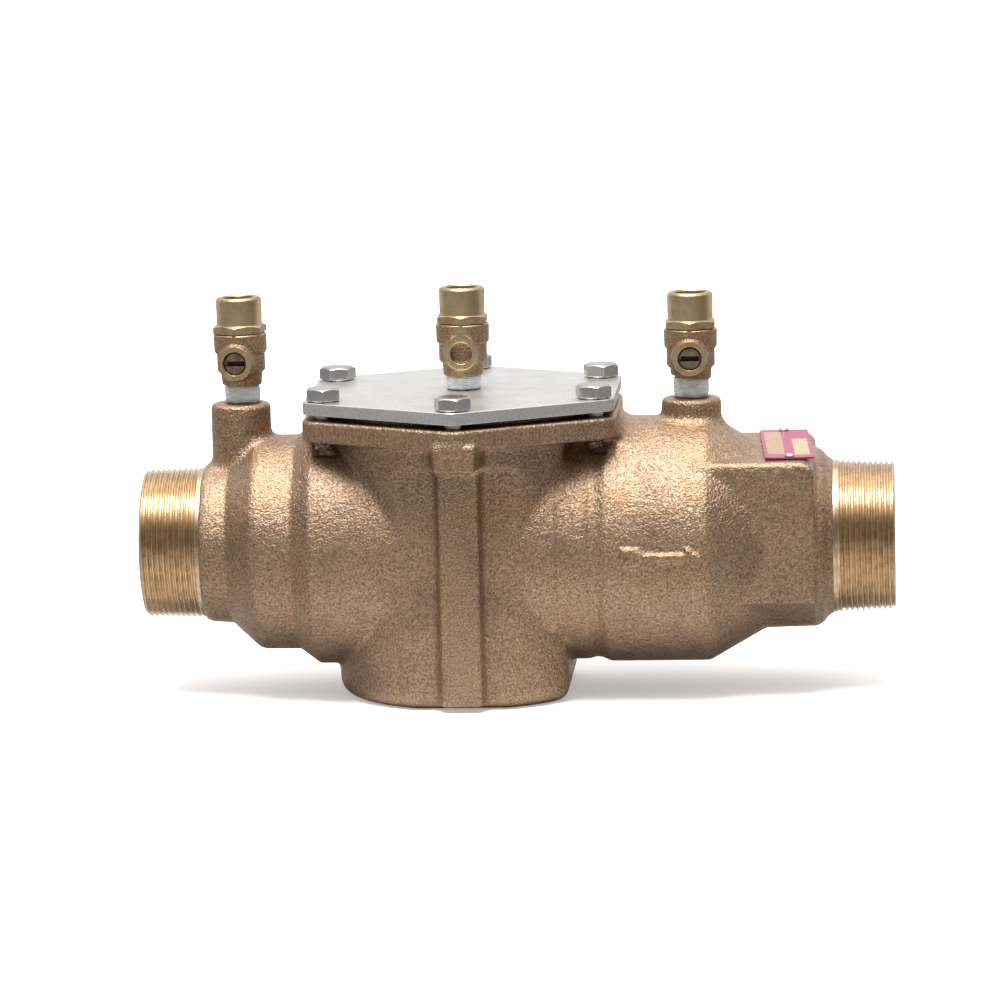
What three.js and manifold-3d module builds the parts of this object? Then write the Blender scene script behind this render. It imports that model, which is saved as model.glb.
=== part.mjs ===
// Two inch double check backflow preventer: a bronze body with male pipe threads, a bolted
// hexagonal cover, three ball test cocks, and two spring loaded check modules in line.
// Millimetres, +Z up. Water flows along +X. The origin is on the base plane, below the middle
// of the bore.

import * as THREE from 'three';
import { mergeVertices } from 'three/addons/utils/BufferGeometryUtils.js';
import Module from 'manifold-3d';

const wasm = await Module();
wasm.setup();

// ---------------------------------------------------------------- driving dimensions

const GAP = 0.3; // running clearance between neighbouring pieces
const SEAT_GAP = 0.2; // clearance where one flat face rests on another

const LENGTH = 305; // over the two threaded ends
const HALF_LENGTH = LENGTH / 2;
const AXIS_HEIGHT = 61.5; // bore axis above the base
const BASE_Z = -AXIS_HEIGHT; // base plane, seen from the bore axis

const THREAD_RADIUS = 30.2; // mean crest radius of the 2 inch taper thread
const THREAD_LENGTH = 25;
const THREAD_CHAMFER = 1.5;
const PORT_RADIUS = 25.5; // inlet and outlet waterways
const CHAMBER_RADIUS = 42.8; // horizontal water chambers
const BARREL_RADIUS = 49.6; // outside of the horizontal barrel
const COLLAR_RADIUS = 32.8; // short collar behind the inlet thread
const SHOULDER_RADIUS = 43.75; // stepped shoulder between the collar and the barrel

const CENTRE_X = -21.4; // axis of the vertical body, the cover and the middle test cock
const BODY_TOP_RADIUS = 55.4; // the vertical body tapers towards its base
const BODY_BASE_RADIUS = 52.6;
const BODY_FLAT_Y = 49; // flats cast on the front and back of the vertical body
const BODY_FLAT_TOP = 36; // the flats stop at a ledge here
const BODY_RIGHT_X = 20.8; // flat outlet side of the vertical body
const WELL_RADIUS = 46; // inside of the vertical body
const WELL_FLAT_Y = 42.5;
const WELL_RIGHT_X = 13.8;
const WELL_FLOOR = BASE_Z + 8;
const WALL_Z = 39; // the cover opening starts above this height

const FLANGE_BOTTOM = 46;
const FLANGE_TOP = 54.7;
const FLANGE_APOTHEM = 63;
const FLANGE_CORNER = 9;
const LAND_RADIUS = 57; // raised round land that the cover seals on
const LAND_TOP = 56.8;
const OPENING_RADIUS = 42.5; // the modules come out through this opening

const COVER_APOTHEM = 62.4;
const COVER_CORNER = 6;
const COVER_BOTTOM = 57;
const COVER_THICKNESS = 5;
const COVER_TOP = COVER_BOTTOM + COVER_THICKNESS;

const BOLT_CIRCLE_RADIUS = 62.6;
const BOLT_COUNT = 6;
const BOLT_RADIUS = 3.9; // M8
const BOLT_ACROSS_FLATS = 13;
const BOLT_HEAD_HEIGHT = 5.3;
const BOLT_LENGTH = 20;
const BOLT_TURNS = [18, 4, 40, 50, 13, 15]; // degrees each head was left at

const WRENCH_FLAT_Y = 37; // wrench flats beside the outlet thread
const WRENCH_START_X = 72;
const WRENCH_END_X = 120.5;
const WRENCH_MEAN_TOP = 37.1;
const WRENCH_SLOPE = THREE.MathUtils.degToRad(2.1); // the top of the wrench section leans forward

const COCK_BOSS_RADIUS = 12.1;
const INLET_BOSS_X = -112.5;
const INLET_COCK_X = INLET_BOSS_X + 0.8; // tapped a little off the boss's centre
const OUTLET_COCK_X = 70.8;
const BOSS_TOP = 57.6;

const MODULE_RADIUS = 35.7; // seat ring of a check module
const MODULE_BORE = MODULE_RADIUS + GAP;
const SEAT_RADIUS = 24;
const SEAT_LENGTH = 9;
const CAGE_RADIUS = 33.5;
const FIRST_MODULE_X = -83.8; // upstream faces of the two seat rings
const SECOND_MODULE_X = 14.9;

const ROUND = 32; // facets on the large rounds
const CHANNEL = 28; // facets on the waterway and on what fits inside it
const MEDIUM = 12;
const SMALL = 10;
const FINEST_EDGE = 0.01; // shorter edges left by a cut are closed up

// ---------------------------------------------------------------- materials

const finish = (color, roughness, metalness) =>
  new THREE.MeshStandardMaterial({ color, roughness, metalness });

const castBronze = () => finish(0xa98a68, 0.62, 0.75);
const machinedBrass = () => finish(0xb79a5c, 0.35, 0.95);
const stainless = () => finish(0xc3c5c4, 0.42, 0.9);
const springSteel = () => finish(0x9a9c9e, 0.35, 0.95);
const rubber = () => finish(0x1c1c1d, 0.85, 0);
const engineeringPlastic = () => finish(0x35383b, 0.55, 0);
const threadTape = () => finish(0xf2f1ec, 0.7, 0);
const plateRed = () => finish(0x8c2f3f, 0.5, 0.3);
const aluminium = () => finish(0xc9c6c0, 0.4, 0.9);
const ballChrome = () => finish(0xd8d9da, 0.12, 1);
const sealPlastic = () => finish(0xe9e6de, 0.6, 0);

// ---------------------------------------------------------------- solid helpers

// Turns a closed geometry into a solid whose faces point out.
function toSolid(geometry) {
  const bare = geometry.clone();
  bare.deleteAttribute('normal');
  bare.deleteAttribute('uv');
  const merged = mergeVertices(bare, 1e-4);
  const corners = merged.index.array;
  const points = merged.attributes.position;
  const kept = [];
  let volume = 0;
  const [a, b, c] = [new THREE.Vector3(), new THREE.Vector3(), new THREE.Vector3()];
  for (let i = 0; i < corners.length; i += 3) {
    const [ia, ib, ic] = [corners[i], corners[i + 1], corners[i + 2]];
    if (ia === ib || ib === ic || ic === ia) continue;
    kept.push(ia, ib, ic);
    a.fromBufferAttribute(points, ia);
    b.fromBufferAttribute(points, ib);
    c.fromBufferAttribute(points, ic);
    volume += a.dot(b.cross(c));
  }
  if (volume < 0) kept.reverse();
  return new wasm.Manifold(
    new wasm.Mesh({
      numProp: 3,
      vertProperties: new Float32Array(points.array),
      triVerts: new Uint32Array(kept),
    }),
  );
}

function toGeometry(solid) {
  const mesh = solid.simplify(FINEST_EDGE).getMesh();
  const geometry = new THREE.BufferGeometry();
  geometry.setAttribute('position', new THREE.BufferAttribute(mesh.vertProperties, 3));
  geometry.setIndex(new THREE.BufferAttribute(mesh.triVerts, 1));
  geometry.computeVertexNormals();
  return geometry;
}

function box(x0, x1, y0, y1, z0, z1) {
  const geometry = new THREE.BoxGeometry(x1 - x0, y1 - y0, z1 - z0);
  return toSolid(geometry.translate((x0 + x1) / 2, (y0 + y1) / 2, (z0 + z1) / 2));
}

const latheGeometry = (profile, segments) =>
  new THREE.LatheGeometry(
    profile.map(([along, radius]) => new THREE.Vector2(radius, along)),
    segments,
  );

// Profiles are lists of [distance along the axis, radius].
const turnedAboutZ = (profile, segments) =>
  toSolid(latheGeometry(profile, segments).rotateX(Math.PI / 2));
const turnedAboutX = (profile, segments) =>
  toSolid(latheGeometry(profile, segments).rotateZ(-Math.PI / 2));
const turnedAboutY = (profile, segments) => toSolid(latheGeometry(profile, segments));

const rod = (from, to, radius) => [
  [from, 0],
  [from, radius],
  [to, radius],
  [to, 0],
];
const tube = (from, to, inner, outer) => [
  [from, inner],
  [from, outer],
  [to, outer],
  [to, inner],
  [from, inner],
];

const rodX = (from, to, radius, segments) => turnedAboutX(rod(from, to, radius), segments);
const rodY = (from, to, radius, segments) => turnedAboutY(rod(from, to, radius), segments);
const rodZ = (from, to, radius, segments) => turnedAboutZ(rod(from, to, radius), segments);

// A round section ring about X, such as an O-ring.
function ringAboutX(x, radius, section) {
  const geometry = new THREE.TorusGeometry(radius, section, 6, CHANNEL);
  return toSolid(geometry.rotateY(Math.PI / 2).translate(x, 0, 0));
}

function extrudedUp(shape, from, to, curveSegments = 4) {
  const settings = { depth: to - from, bevelEnabled: false, curveSegments };
  return toSolid(new THREE.ExtrudeGeometry(shape, settings).translate(0, 0, from));
}

function polygonShape(points) {
  return new THREE.Shape(points.map(([x, y]) => new THREE.Vector2(x, y)));
}

// Hexagon with rounded corners; two corners lie on the Y axis.
function roundedHexagon(apothem, cornerRadius) {
  const shape = new THREE.Shape();
  const reach = (apothem - cornerRadius) / Math.cos(Math.PI / 6);
  for (let corner = 0; corner < 6; corner += 1) {
    const angle = Math.PI / 2 + (corner * Math.PI) / 3;
    const x = reach * Math.cos(angle);
    const y = reach * Math.sin(angle);
    shape.absarc(x, y, cornerRadius, angle - Math.PI / 6, angle + Math.PI / 6, false);
  }
  shape.closePath();
  return shape;
}

function plainHexagon(acrossFlats) {
  const reach = acrossFlats / 2 / Math.cos(Math.PI / 6);
  const corners = [];
  for (let corner = 0; corner < 6; corner += 1) {
    const angle = Math.PI / 2 + (corner * Math.PI) / 3;
    corners.push([reach * Math.cos(angle), reach * Math.sin(angle)]);
  }
  return polygonShape(corners);
}

function boltPlaces() {
  const places = [];
  for (let bolt = 0; bolt < BOLT_COUNT; bolt += 1) {
    const angle = -Math.PI / 2 - (bolt * 2 * Math.PI) / BOLT_COUNT;
    const x = CENTRE_X + BOLT_CIRCLE_RADIUS * Math.cos(angle);
    places.push({ x, y: BOLT_CIRCLE_RADIUS * Math.sin(angle) });
  }
  return places;
}

function addPiece(parent, name, solid, material) {
  const mesh = new THREE.Mesh(toGeometry(solid), material);
  mesh.name = name;
  parent.add(mesh);
  return mesh;
}

// ---------------------------------------------------------------- body casting

// Outside of the horizontal barrel, from the inlet thread to the outlet thread.
function barrelOutside() {
  const threadEnd = HALF_LENGTH - THREAD_LENGTH;
  const thread = (side) => [
    [side * HALF_LENGTH, THREAD_RADIUS - THREAD_CHAMFER],
    [side * (HALF_LENGTH - THREAD_CHAMFER), THREAD_RADIUS - 0.2],
    [side * threadEnd, THREAD_RADIUS + 0.2],
  ];
  return turnedAboutX(
    [
      [-HALF_LENGTH, 0],
      ...thread(-1),
      [-threadEnd, COLLAR_RADIUS - 1.3],
      [-125, COLLAR_RADIUS - 0.4],
      [-117, COLLAR_RADIUS],
      [-106, SHOULDER_RADIUS - 0.8],
      [-103.5, SHOULDER_RADIUS],
      [-89.5, SHOULDER_RADIUS],
      [-81.5, BARREL_RADIUS],
      [BODY_RIGHT_X - 4, BARREL_RADIUS],
      [BODY_RIGHT_X - 3, BARREL_RADIUS - 0.7],
      [28.5, BARREL_RADIUS - 0.7],
      [31, BARREL_RADIUS - 1.5],
      [33.5, BARREL_RADIUS - 1.2],
      [37, BARREL_RADIUS + 0.2],
      [76, BARREL_RADIUS + 0.2],
      [83, 47],
      [100, 37],
      [WRENCH_END_X, 36.5],
      [WRENCH_END_X + 3, 34.8],
      [WRENCH_END_X + 4.6, 32.7],
      [threadEnd, 31.2],
      ...thread(1).reverse(),
      [HALF_LENGTH, 0],
    ],
    ROUND,
  );
}

function verticalBody() {
  const turned = turnedAboutZ(
    [
      [BASE_Z, 0],
      [BASE_Z, BODY_BASE_RADIUS - 4.5],
      [BASE_Z + 1.4, BODY_BASE_RADIUS - 1.3],
      [BASE_Z + 4.6, BODY_BASE_RADIUS],
      [FLANGE_BOTTOM, BODY_TOP_RADIUS],
      [FLANGE_BOTTOM, 0],
    ],
    ROUND,
  ).translate([CENTRE_X, 0, 0]);
  const inside = box(-90, BODY_RIGHT_X, -BODY_FLAT_Y, BODY_FLAT_Y, BASE_Z - 1, BODY_FLAT_TOP);
  const aboveLedge = box(-90, BODY_RIGHT_X, -60, 60, BODY_FLAT_TOP, FLANGE_BOTTOM + 1);
  return turned.intersect(inside.add(aboveLedge));
}

// The upright rib and the thick corner of the flange above it, on the front or the back.
function ribAndBoss(side) {
  const outline = (inner, outer, innerHalf, outerHalf) =>
    polygonShape([
      [CENTRE_X - innerHalf, side * inner],
      [CENTRE_X + innerHalf, side * inner],
      [CENTRE_X + outerHalf, side * outer],
      [CENTRE_X - outerHalf, side * outer],
    ]);
  const rib = extrudedUp(outline(46, 55, 11, 7.4), BASE_Z + 3.5, FLANGE_BOTTOM);
  const boss = extrudedUp(outline(50, 70.5, 11.5, 8), 38, FLANGE_BOTTOM + 1);
  return rib.add(boss);
}

function flange() {
  const plate = extrudedUp(
    roundedHexagon(FLANGE_APOTHEM, FLANGE_CORNER),
    FLANGE_BOTTOM,
    FLANGE_TOP,
  );
  const land = rodZ(FLANGE_TOP - 1, LAND_TOP, LAND_RADIUS, ROUND);
  return plate.add(land).translate([CENTRE_X, 0, 0]);
}

// Flats beside the outlet thread: a prism clipped to the barrel's own radius.
function wrenchSection() {
  const topAt = (y) => WRENCH_MEAN_TOP + y * Math.tan(WRENCH_SLOPE);
  const section = polygonShape([
    [-WRENCH_FLAT_Y, -21],
    [-17, -33.5],
    [17, -33.5],
    [WRENCH_FLAT_Y, -21],
    [WRENCH_FLAT_Y, topAt(WRENCH_FLAT_Y)],
    [-WRENCH_FLAT_Y, topAt(-WRENCH_FLAT_Y)],
  ]);
  const length = WRENCH_END_X - WRENCH_START_X;
  const geometry = new THREE.ExtrudeGeometry(section, { depth: length, bevelEnabled: false });
  const upright = new THREE.Matrix4().makeBasis(
    new THREE.Vector3(0, 1, 0),
    new THREE.Vector3(0, 0, 1),
    new THREE.Vector3(1, 0, 0),
  );
  geometry.applyMatrix4(upright).translate(WRENCH_START_X, 0, 0);
  const clip = rodX(WRENCH_START_X - 1, WRENCH_END_X + 1, BARREL_RADIUS + 0.7, ROUND);
  const corner = polygonShape([
    [WRENCH_END_X - 5, WRENCH_MEAN_TOP + 1.5],
    [WRENCH_END_X + 1, WRENCH_MEAN_TOP - 5],
    [WRENCH_END_X + 1, WRENCH_MEAN_TOP + 1.5],
  ]);
  const cut = extrudedUp(corner, -BARREL_RADIUS, BARREL_RADIUS).rotate([90, 0, 0]);
  return toSolid(geometry).intersect(clip).subtract(cut);
}

function flowArrow() {
  const [tail, notch, head, tip] = [42.8, 50, 69, 76];
  const [middle, tailHalf, shaftHalf, headHalf] = [0, 4, 1.7, 4.4];
  const outline = polygonShape([
    [tail, middle + tailHalf],
    [notch, middle + tailHalf],
    [notch + 3, middle + shaftHalf],
    [head, middle + shaftHalf],
    [head, middle + headHalf],
    [tip, middle],
    [head, middle - headHalf],
    [head, middle - shaftHalf],
    [notch + 3, middle - shaftHalf],
    [notch, middle - tailHalf],
    [tail, middle - tailHalf],
    [tail + 3.5, middle],
  ]);
  const upright = extrudedUp(outline, 44, 54).rotate([90, 0, 0]);
  const raised = rodX(40, 80, BARREL_RADIUS + 1.5, ROUND);
  return upright.intersect(raised);
}

function cockBoss(x, from, footRadius, footTop) {
  return turnedAboutZ(
    [
      [from, 0],
      [from, footRadius],
      [footTop, COCK_BOSS_RADIUS],
      [BOSS_TOP - 1.2, COCK_BOSS_RADIUS],
      [BOSS_TOP, COCK_BOSS_RADIUS - 1.2],
      [BOSS_TOP, 0],
    ],
    MEDIUM,
  ).translate([x, 0, 0]);
}

// Horizontal waterway with the bores of the two check modules.
function waterway() {
  const stop = FIRST_MODULE_X - SEAT_GAP;
  const secondStop = SECOND_MODULE_X + SEAT_LENGTH + SEAT_GAP;
  const inletSide = turnedAboutX(
    [
      [-HALF_LENGTH - 1, 0],
      [-HALF_LENGTH - 1, PORT_RADIUS],
      [-113, PORT_RADIUS],
      [-101, 36],
      [-90, 36],
      [stop - 4, MODULE_RADIUS - 3.7],
      [stop, MODULE_RADIUS - 3.7],
      [stop, MODULE_BORE],
      [FIRST_MODULE_X + SEAT_LENGTH, MODULE_BORE],
      [FIRST_MODULE_X + SEAT_LENGTH, CHAMBER_RADIUS],
      [CENTRE_X, CHAMBER_RADIUS],
      [CENTRE_X, 0],
    ],
    CHANNEL,
  );
  const outletSide = turnedAboutX(
    [
      [CENTRE_X, 0],
      [CENTRE_X, MODULE_BORE],
      [secondStop, MODULE_BORE],
      [secondStop, CAGE_RADIUS + GAP],
      [34, CAGE_RADIUS + GAP],
      [37, CHAMBER_RADIUS],
      [75, CHAMBER_RADIUS],
      [83, 39],
      [100, 27],
      [104, PORT_RADIUS],
      [HALF_LENGTH + 1, PORT_RADIUS],
      [HALF_LENGTH + 1, 0],
    ],
    CHANNEL,
  );
  return inletSide.add(outletSide);
}

function well() {
  const shaft = rodZ(WELL_FLOOR, WALL_Z + 1, WELL_RADIUS, ROUND).translate([CENTRE_X, 0, 0]);
  const room = box(-80, WELL_RIGHT_X, -WELL_FLAT_Y, WELL_FLAT_Y, WELL_FLOOR - 1, WALL_Z + 1);
  const opening = rodZ(WALL_Z, LAND_TOP + 1, OPENING_RADIUS, ROUND);
  return shaft.intersect(room).add(opening.translate([CENTRE_X, 0, 0]));
}

const COVER_RING_RADIUS = 48;
const COVER_RING_SECTION = 1.3;

function bodyCasting() {
  let casting = barrelOutside()
    .add(verticalBody())
    .add(ribAndBoss(-1))
    .add(ribAndBoss(1))
    .add(flange())
    .add(wrenchSection())
    .add(flowArrow())
    .add(cockBoss(INLET_BOSS_X, 15, COCK_BOSS_RADIUS, 20))
    .add(cockBoss(OUTLET_COCK_X, 45, COCK_BOSS_RADIUS + 5, 51));
  const groove = turnedAboutZ(
    tube(LAND_TOP - 2.7, LAND_TOP + 1, COVER_RING_RADIUS - 1.9, COVER_RING_RADIUS + 1.9),
    ROUND,
  );
  casting = casting.subtract(waterway()).subtract(well());
  casting = casting.subtract(groove.translate([CENTRE_X, 0, 0]));
  for (const { x, y } of boltPlaces()) {
    const hole = rodZ(39, COVER_BOTTOM, BOLT_RADIUS + GAP, SMALL);
    casting = casting.subtract(hole.translate([x, y, 0]));
  }
  for (const x of [INLET_COCK_X, OUTLET_COCK_X]) {
    const socket = rodZ(BOSS_TOP - 10.5, BOSS_TOP + 1, NIPPLE_RADIUS + 0.6, MEDIUM);
    const passage = rodZ(20, BOSS_TOP, 3.2, SMALL);
    casting = casting.subtract(socket.add(passage).translate([x, 0, 0]));
  }
  return casting;
}

// ---------------------------------------------------------------- cover

function coverPlate() {
  let plate = extrudedUp(
    roundedHexagon(COVER_APOTHEM, COVER_CORNER),
    COVER_BOTTOM,
    COVER_TOP,
  ).translate([CENTRE_X, 0, 0]);
  for (const { x, y } of boltPlaces()) {
    const hole = rodZ(COVER_BOTTOM - 1, COVER_TOP + 1, BOLT_RADIUS + 0.5, SMALL);
    plate = plate.subtract(hole.translate([x, y, 0]));
  }
  const tapped = rodZ(COVER_BOTTOM - 1, COVER_TOP + 1, NIPPLE_RADIUS + GAP, MEDIUM);
  return plate.subtract(tapped.translate([CENTRE_X, 0, 0]));
}

function coverSeal() {
  const geometry = new THREE.TorusGeometry(COVER_RING_RADIUS, COVER_RING_SECTION, 6, ROUND);
  return toSolid(geometry.translate(CENTRE_X, 0, LAND_TOP - COVER_RING_SECTION - 0.1));
}

function coverBolt() {
  const head = extrudedUp(plainHexagon(BOLT_ACROSS_FLATS), 0.5, BOLT_HEAD_HEIGHT);
  const washerFace = rodZ(0, 0.6, BOLT_ACROSS_FLATS / 2 - 0.2, MEDIUM);
  const shank = rodZ(-BOLT_LENGTH, 0.1, BOLT_RADIUS, SMALL);
  return head.add(washerFace).add(shank);
}

// ---------------------------------------------------------------- test cocks

const NIPPLE_RADIUS = 6.3;
const STEM_Z = 10.1; // stem axis above the foot of the cock body
const BALL_RADIUS = 5.2;
const BALL_BORE = 2.6;
const BALL_ROOM = BALL_RADIUS + 0.4;
const COCK_TOP = 21.2; // top of the cast body
const HEX_TOP = 24.9;
const ADAPTER_TOP = 36;
const ADAPTER_ACROSS_FLATS = 19.6;
const ADAPTER_RADIUS = 9.2;
const ADAPTER_BORE = 6.4;
const FACE_Y = -12; // face of the ring boss round the stem
const BACK_Y = 11; // face of the blank boss behind it
const RECESS_DEPTH = 2.5;

function cockBody(nippleLength) {
  const outside = turnedAboutZ(
    [
      [-nippleLength, 0],
      [-nippleLength, NIPPLE_RADIUS],
      [0, NIPPLE_RADIUS],
      [0, 8],
      [5.2, 8.4],
      [6.4, 9.75],
      [13, 9.75],
      [14, 10.8],
      [COCK_TOP, 10.8],
      [COCK_TOP, 0],
    ],
    MEDIUM,
  );
  const stemBoss = turnedAboutY([[0, 0], [0, 8.2], [FACE_Y, 7.1], [FACE_Y, 0]], MEDIUM);
  const blankBoss = turnedAboutY(
    [
      [0, 0],
      [0, 8],
      [BACK_Y, 7],
      [BACK_Y, 4.4],
      [BACK_Y - RECESS_DEPTH, 4.2],
      [BACK_Y - RECESS_DEPTH, 0],
    ],
    MEDIUM,
  );
  const waterBore = turnedAboutZ(
    [
      [-nippleLength - 1, 0],
      [-nippleLength - 1, 3],
      [3.5, 3],
      [3.5, BALL_ROOM],
      [16.6, BALL_ROOM],
      [16.6, 7.2],
      [COCK_TOP + 1, 7.2],
      [COCK_TOP + 1, 0],
    ],
    MEDIUM,
  );
  const stemHole = turnedAboutY(
    [
      [0, 0],
      [0, 3.3],
      [-9.4, 3.3],
      [-9.4, 4.7],
      [FACE_Y - 1, 4.7],
      [FACE_Y - 1, 0],
    ],
    MEDIUM,
  );
  const bosses = stemBoss.add(blankBoss).translate([0, 0, STEM_Z]);
  return outside.add(bosses).subtract(waterBore).subtract(stemHole.translate([0, 0, STEM_Z]));
}

function cockBall() {
  const sphere = toSolid(new THREE.SphereGeometry(BALL_RADIUS, SMALL, 10));
  const bore = rodX(-6, 6, BALL_BORE, 12);
  const slot = box(-6, 6, -6, -3.7, -1.3, 1.3);
  return sphere.subtract(bore).subtract(slot).translate([0, 0, STEM_Z]);
}

function cockStem() {
  const turned = turnedAboutY(
    [
      [-5.5, 0],
      [-5.5, 3],
      [-6.7, 3],
      [-6.7, 2.2],
      [-8.3, 2.2],
      [-8.3, 3],
      [-9.7, 3],
      [-9.7, 4.3],
      [-11.3, 4.3],
      [-11.6, 4],
      [-11.6, 0],
    ],
    SMALL,
  );
  const tang = box(-2.2, 2.2, -5.6, -4, -1, 1);
  const driverSlot = box(-5, 5, -12, -9.8, -1, 1);
  return turned.add(tang).subtract(driverSlot).translate([0, 0, STEM_Z]);
}

function stemSeal() {
  const geometry = new THREE.TorusGeometry(2.7, 0.42, 6, 12);
  return toSolid(geometry.rotateX(Math.PI / 2).translate(0, -7.5, STEM_Z));
}

// Ring with a hollow face that follows the ball; side is -1 below the ball and +1 above it.
function ballSeat(side) {
  const clear = BALL_RADIUS + GAP;
  const away = (radius) => Math.sqrt(clear * clear - radius * radius);
  const [inner, outer, back] = [3, 4.9, 6.3];
  const radii = [outer, 4.1, inner];
  const profile = [
    [side * back, inner],
    [side * back, outer],
    ...radii.map((radius) => [side * away(radius), radius]),
    [side * back, inner],
  ];
  return turnedAboutZ(profile, MEDIUM).translate([0, 0, STEM_Z]);
}

function hoseAdapter() {
  const hexagon = extrudedUp(plainHexagon(ADAPTER_ACROSS_FLATS), COCK_TOP + GAP, HEX_TOP);
  const turned = turnedAboutZ(
    [
      [16.8, 0],
      [16.8, 6.9],
      [COCK_TOP + 1, 6.9],
      [COCK_TOP + 1, ADAPTER_RADIUS],
      [ADAPTER_TOP - 0.6, ADAPTER_RADIUS],
      [ADAPTER_TOP, ADAPTER_RADIUS - 0.6],
      [ADAPTER_TOP, 0],
    ],
    MEDIUM,
  );
  const bore = turnedAboutZ(
    [
      [16, 0],
      [16, 3.2],
      [26, 3.2],
      [27, ADAPTER_BORE],
      [ADAPTER_TOP + 1, ADAPTER_BORE],
      [ADAPTER_TOP + 1, 0],
    ],
    MEDIUM,
  );
  return hexagon.add(turned).subtract(bore);
}

const tapeWrap = (exposed) =>
  turnedAboutZ(tube(-exposed + GAP, -GAP, NIPPLE_RADIUS + GAP, NIPPLE_RADIUS + 1.1), MEDIUM);

// exposed: length of nipple between the boss or cover and the foot of the cock body.
// turn and lean are small angles, in degrees, that the cock was left at when it was screwed in.
function addTestCock(parent, label, { x, footZ, exposed, engaged, turn, lean }) {
  const cock = new THREE.Group();
  cock.position.set(x, 0, footZ);
  cock.rotation.set(0, THREE.MathUtils.degToRad(lean), THREE.MathUtils.degToRad(turn));
  cock.rotation.order = 'YZX';
  parent.add(cock);
  const add = (name, solid, material) => addPiece(cock, `${label}_cock_${name}`, solid, material);
  add('body', cockBody(exposed + engaged), castBronze());
  add('ball', cockBall(), ballChrome());
  add('stem', cockStem(), machinedBrass());
  add('stem_o_ring', stemSeal(), rubber());
  add('lower_seat', ballSeat(-1), sealPlastic());
  add('upper_seat', ballSeat(1), sealPlastic());
  add('adapter', hoseAdapter(), machinedBrass());
  add('thread_tape', tapeWrap(exposed), threadTape());
}

// ---------------------------------------------------------------- check modules

const POPPET_RADIUS = 28.4;
const POPPET_FRONT = 11.6;
const POPPET_BACK = 18.2;
const STEM_RADIUS = 4;
const CAGE_END = 38; // inner face of the cage's end plate
const CAGE_LENGTH = 42;
const RUBBER_FACE = 10.7;

class Coil extends THREE.Curve {
  constructor(from, to, radius, turns) {
    super();
    Object.assign(this, { from, to, radius, turns });
  }

  getPoint(t, target = new THREE.Vector3()) {
    const angle = 2 * Math.PI * this.turns * t;
    const x = this.from + (this.to - this.from) * t;
    return target.set(x, this.radius * Math.cos(angle), this.radius * Math.sin(angle));
  }
}

function seatRing() {
  return turnedAboutX(
    [
      [0, SEAT_RADIUS],
      [0, MODULE_RADIUS],
      [3, MODULE_RADIUS],
      [3, MODULE_RADIUS - 2.4],
      [6.2, MODULE_RADIUS - 2.4],
      [6.2, MODULE_RADIUS],
      [SEAT_LENGTH, MODULE_RADIUS],
      [SEAT_LENGTH, SEAT_RADIUS + 2.2],
      [RUBBER_FACE - SEAT_GAP, SEAT_RADIUS + 1.2],
      [RUBBER_FACE - SEAT_GAP, SEAT_RADIUS],
      [0, SEAT_RADIUS],
    ],
    CHANNEL,
  );
}

function moduleCage() {
  const wall = turnedAboutX(
    tube(SEAT_LENGTH + SEAT_GAP, CAGE_LENGTH, POPPET_RADIUS + 0.9, CAGE_RADIUS),
    CHANNEL,
  );
  const endPlate = rodX(CAGE_END, CAGE_LENGTH, CAGE_RADIUS - 1, CHANNEL);
  const hub = rodX(CAGE_END, CAGE_LENGTH + 3, 7.5, SMALL);
  const [windowStart, windowEnd, half, reach] = [13, CAGE_END, 18, 40];
  let cage = wall
    .add(endPlate)
    .add(hub)
    .subtract(box(windowStart, windowEnd, -half, half, -reach, reach))
    .subtract(box(windowStart, windowEnd, -reach, reach, -half, half))
    .subtract(rodX(CAGE_END - 1, CAGE_LENGTH + 4, STEM_RADIUS + GAP, SMALL));
  for (let hole = 0; hole < 6; hole += 1) {
    const angle = (hole * Math.PI) / 3;
    const port = rodX(CAGE_END - 1, CAGE_LENGTH + 1, 7, 12);
    cage = cage.subtract(port.translate([0, 19 * Math.cos(angle), 19 * Math.sin(angle)]));
  }
  return cage;
}

// Disc holder with the guide stem that slides in the cage's hub.
function discHolder() {
  return turnedAboutX(
    [
      [14.6, 0],
      [14.6, 27.1],
      [POPPET_FRONT, 27.1],
      [POPPET_FRONT, POPPET_RADIUS],
      [POPPET_BACK - 2, POPPET_RADIUS],
      [POPPET_BACK, POPPET_RADIUS - 4],
      [POPPET_BACK, STEM_RADIUS],
      [47, STEM_RADIUS],
      [47, 0],
    ],
    CHANNEL,
  ).subtract(rodX(14, 25, 2.7, 12));
}

const rubberDisc = () => turnedAboutX(tube(RUBBER_FACE, 14.4, 5, 26.8), CHANNEL);
const discRetainer = () => turnedAboutX(tube(8.6, RUBBER_FACE - SEAT_GAP, 2.7, 13), MEDIUM);

function discScrew() {
  const head = rodX(5.2, 8.4, 4.6, 12);
  const shank = rodX(8.3, 23.5, 2.4, 12);
  return head.add(shank);
}

function closingSpring() {
  const wire = 1;
  const path = new Coil(POPPET_BACK + wire + GAP, CAGE_END - wire - GAP, 11, 4);
  const section = new THREE.Shape().absarc(0, 0, wire, 0, 2 * Math.PI, false);
  const settings = { steps: 36, bevelEnabled: false, extrudePath: path, curveSegments: 3 };
  return toSolid(new THREE.ExtrudeGeometry(section, settings));
}

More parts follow.
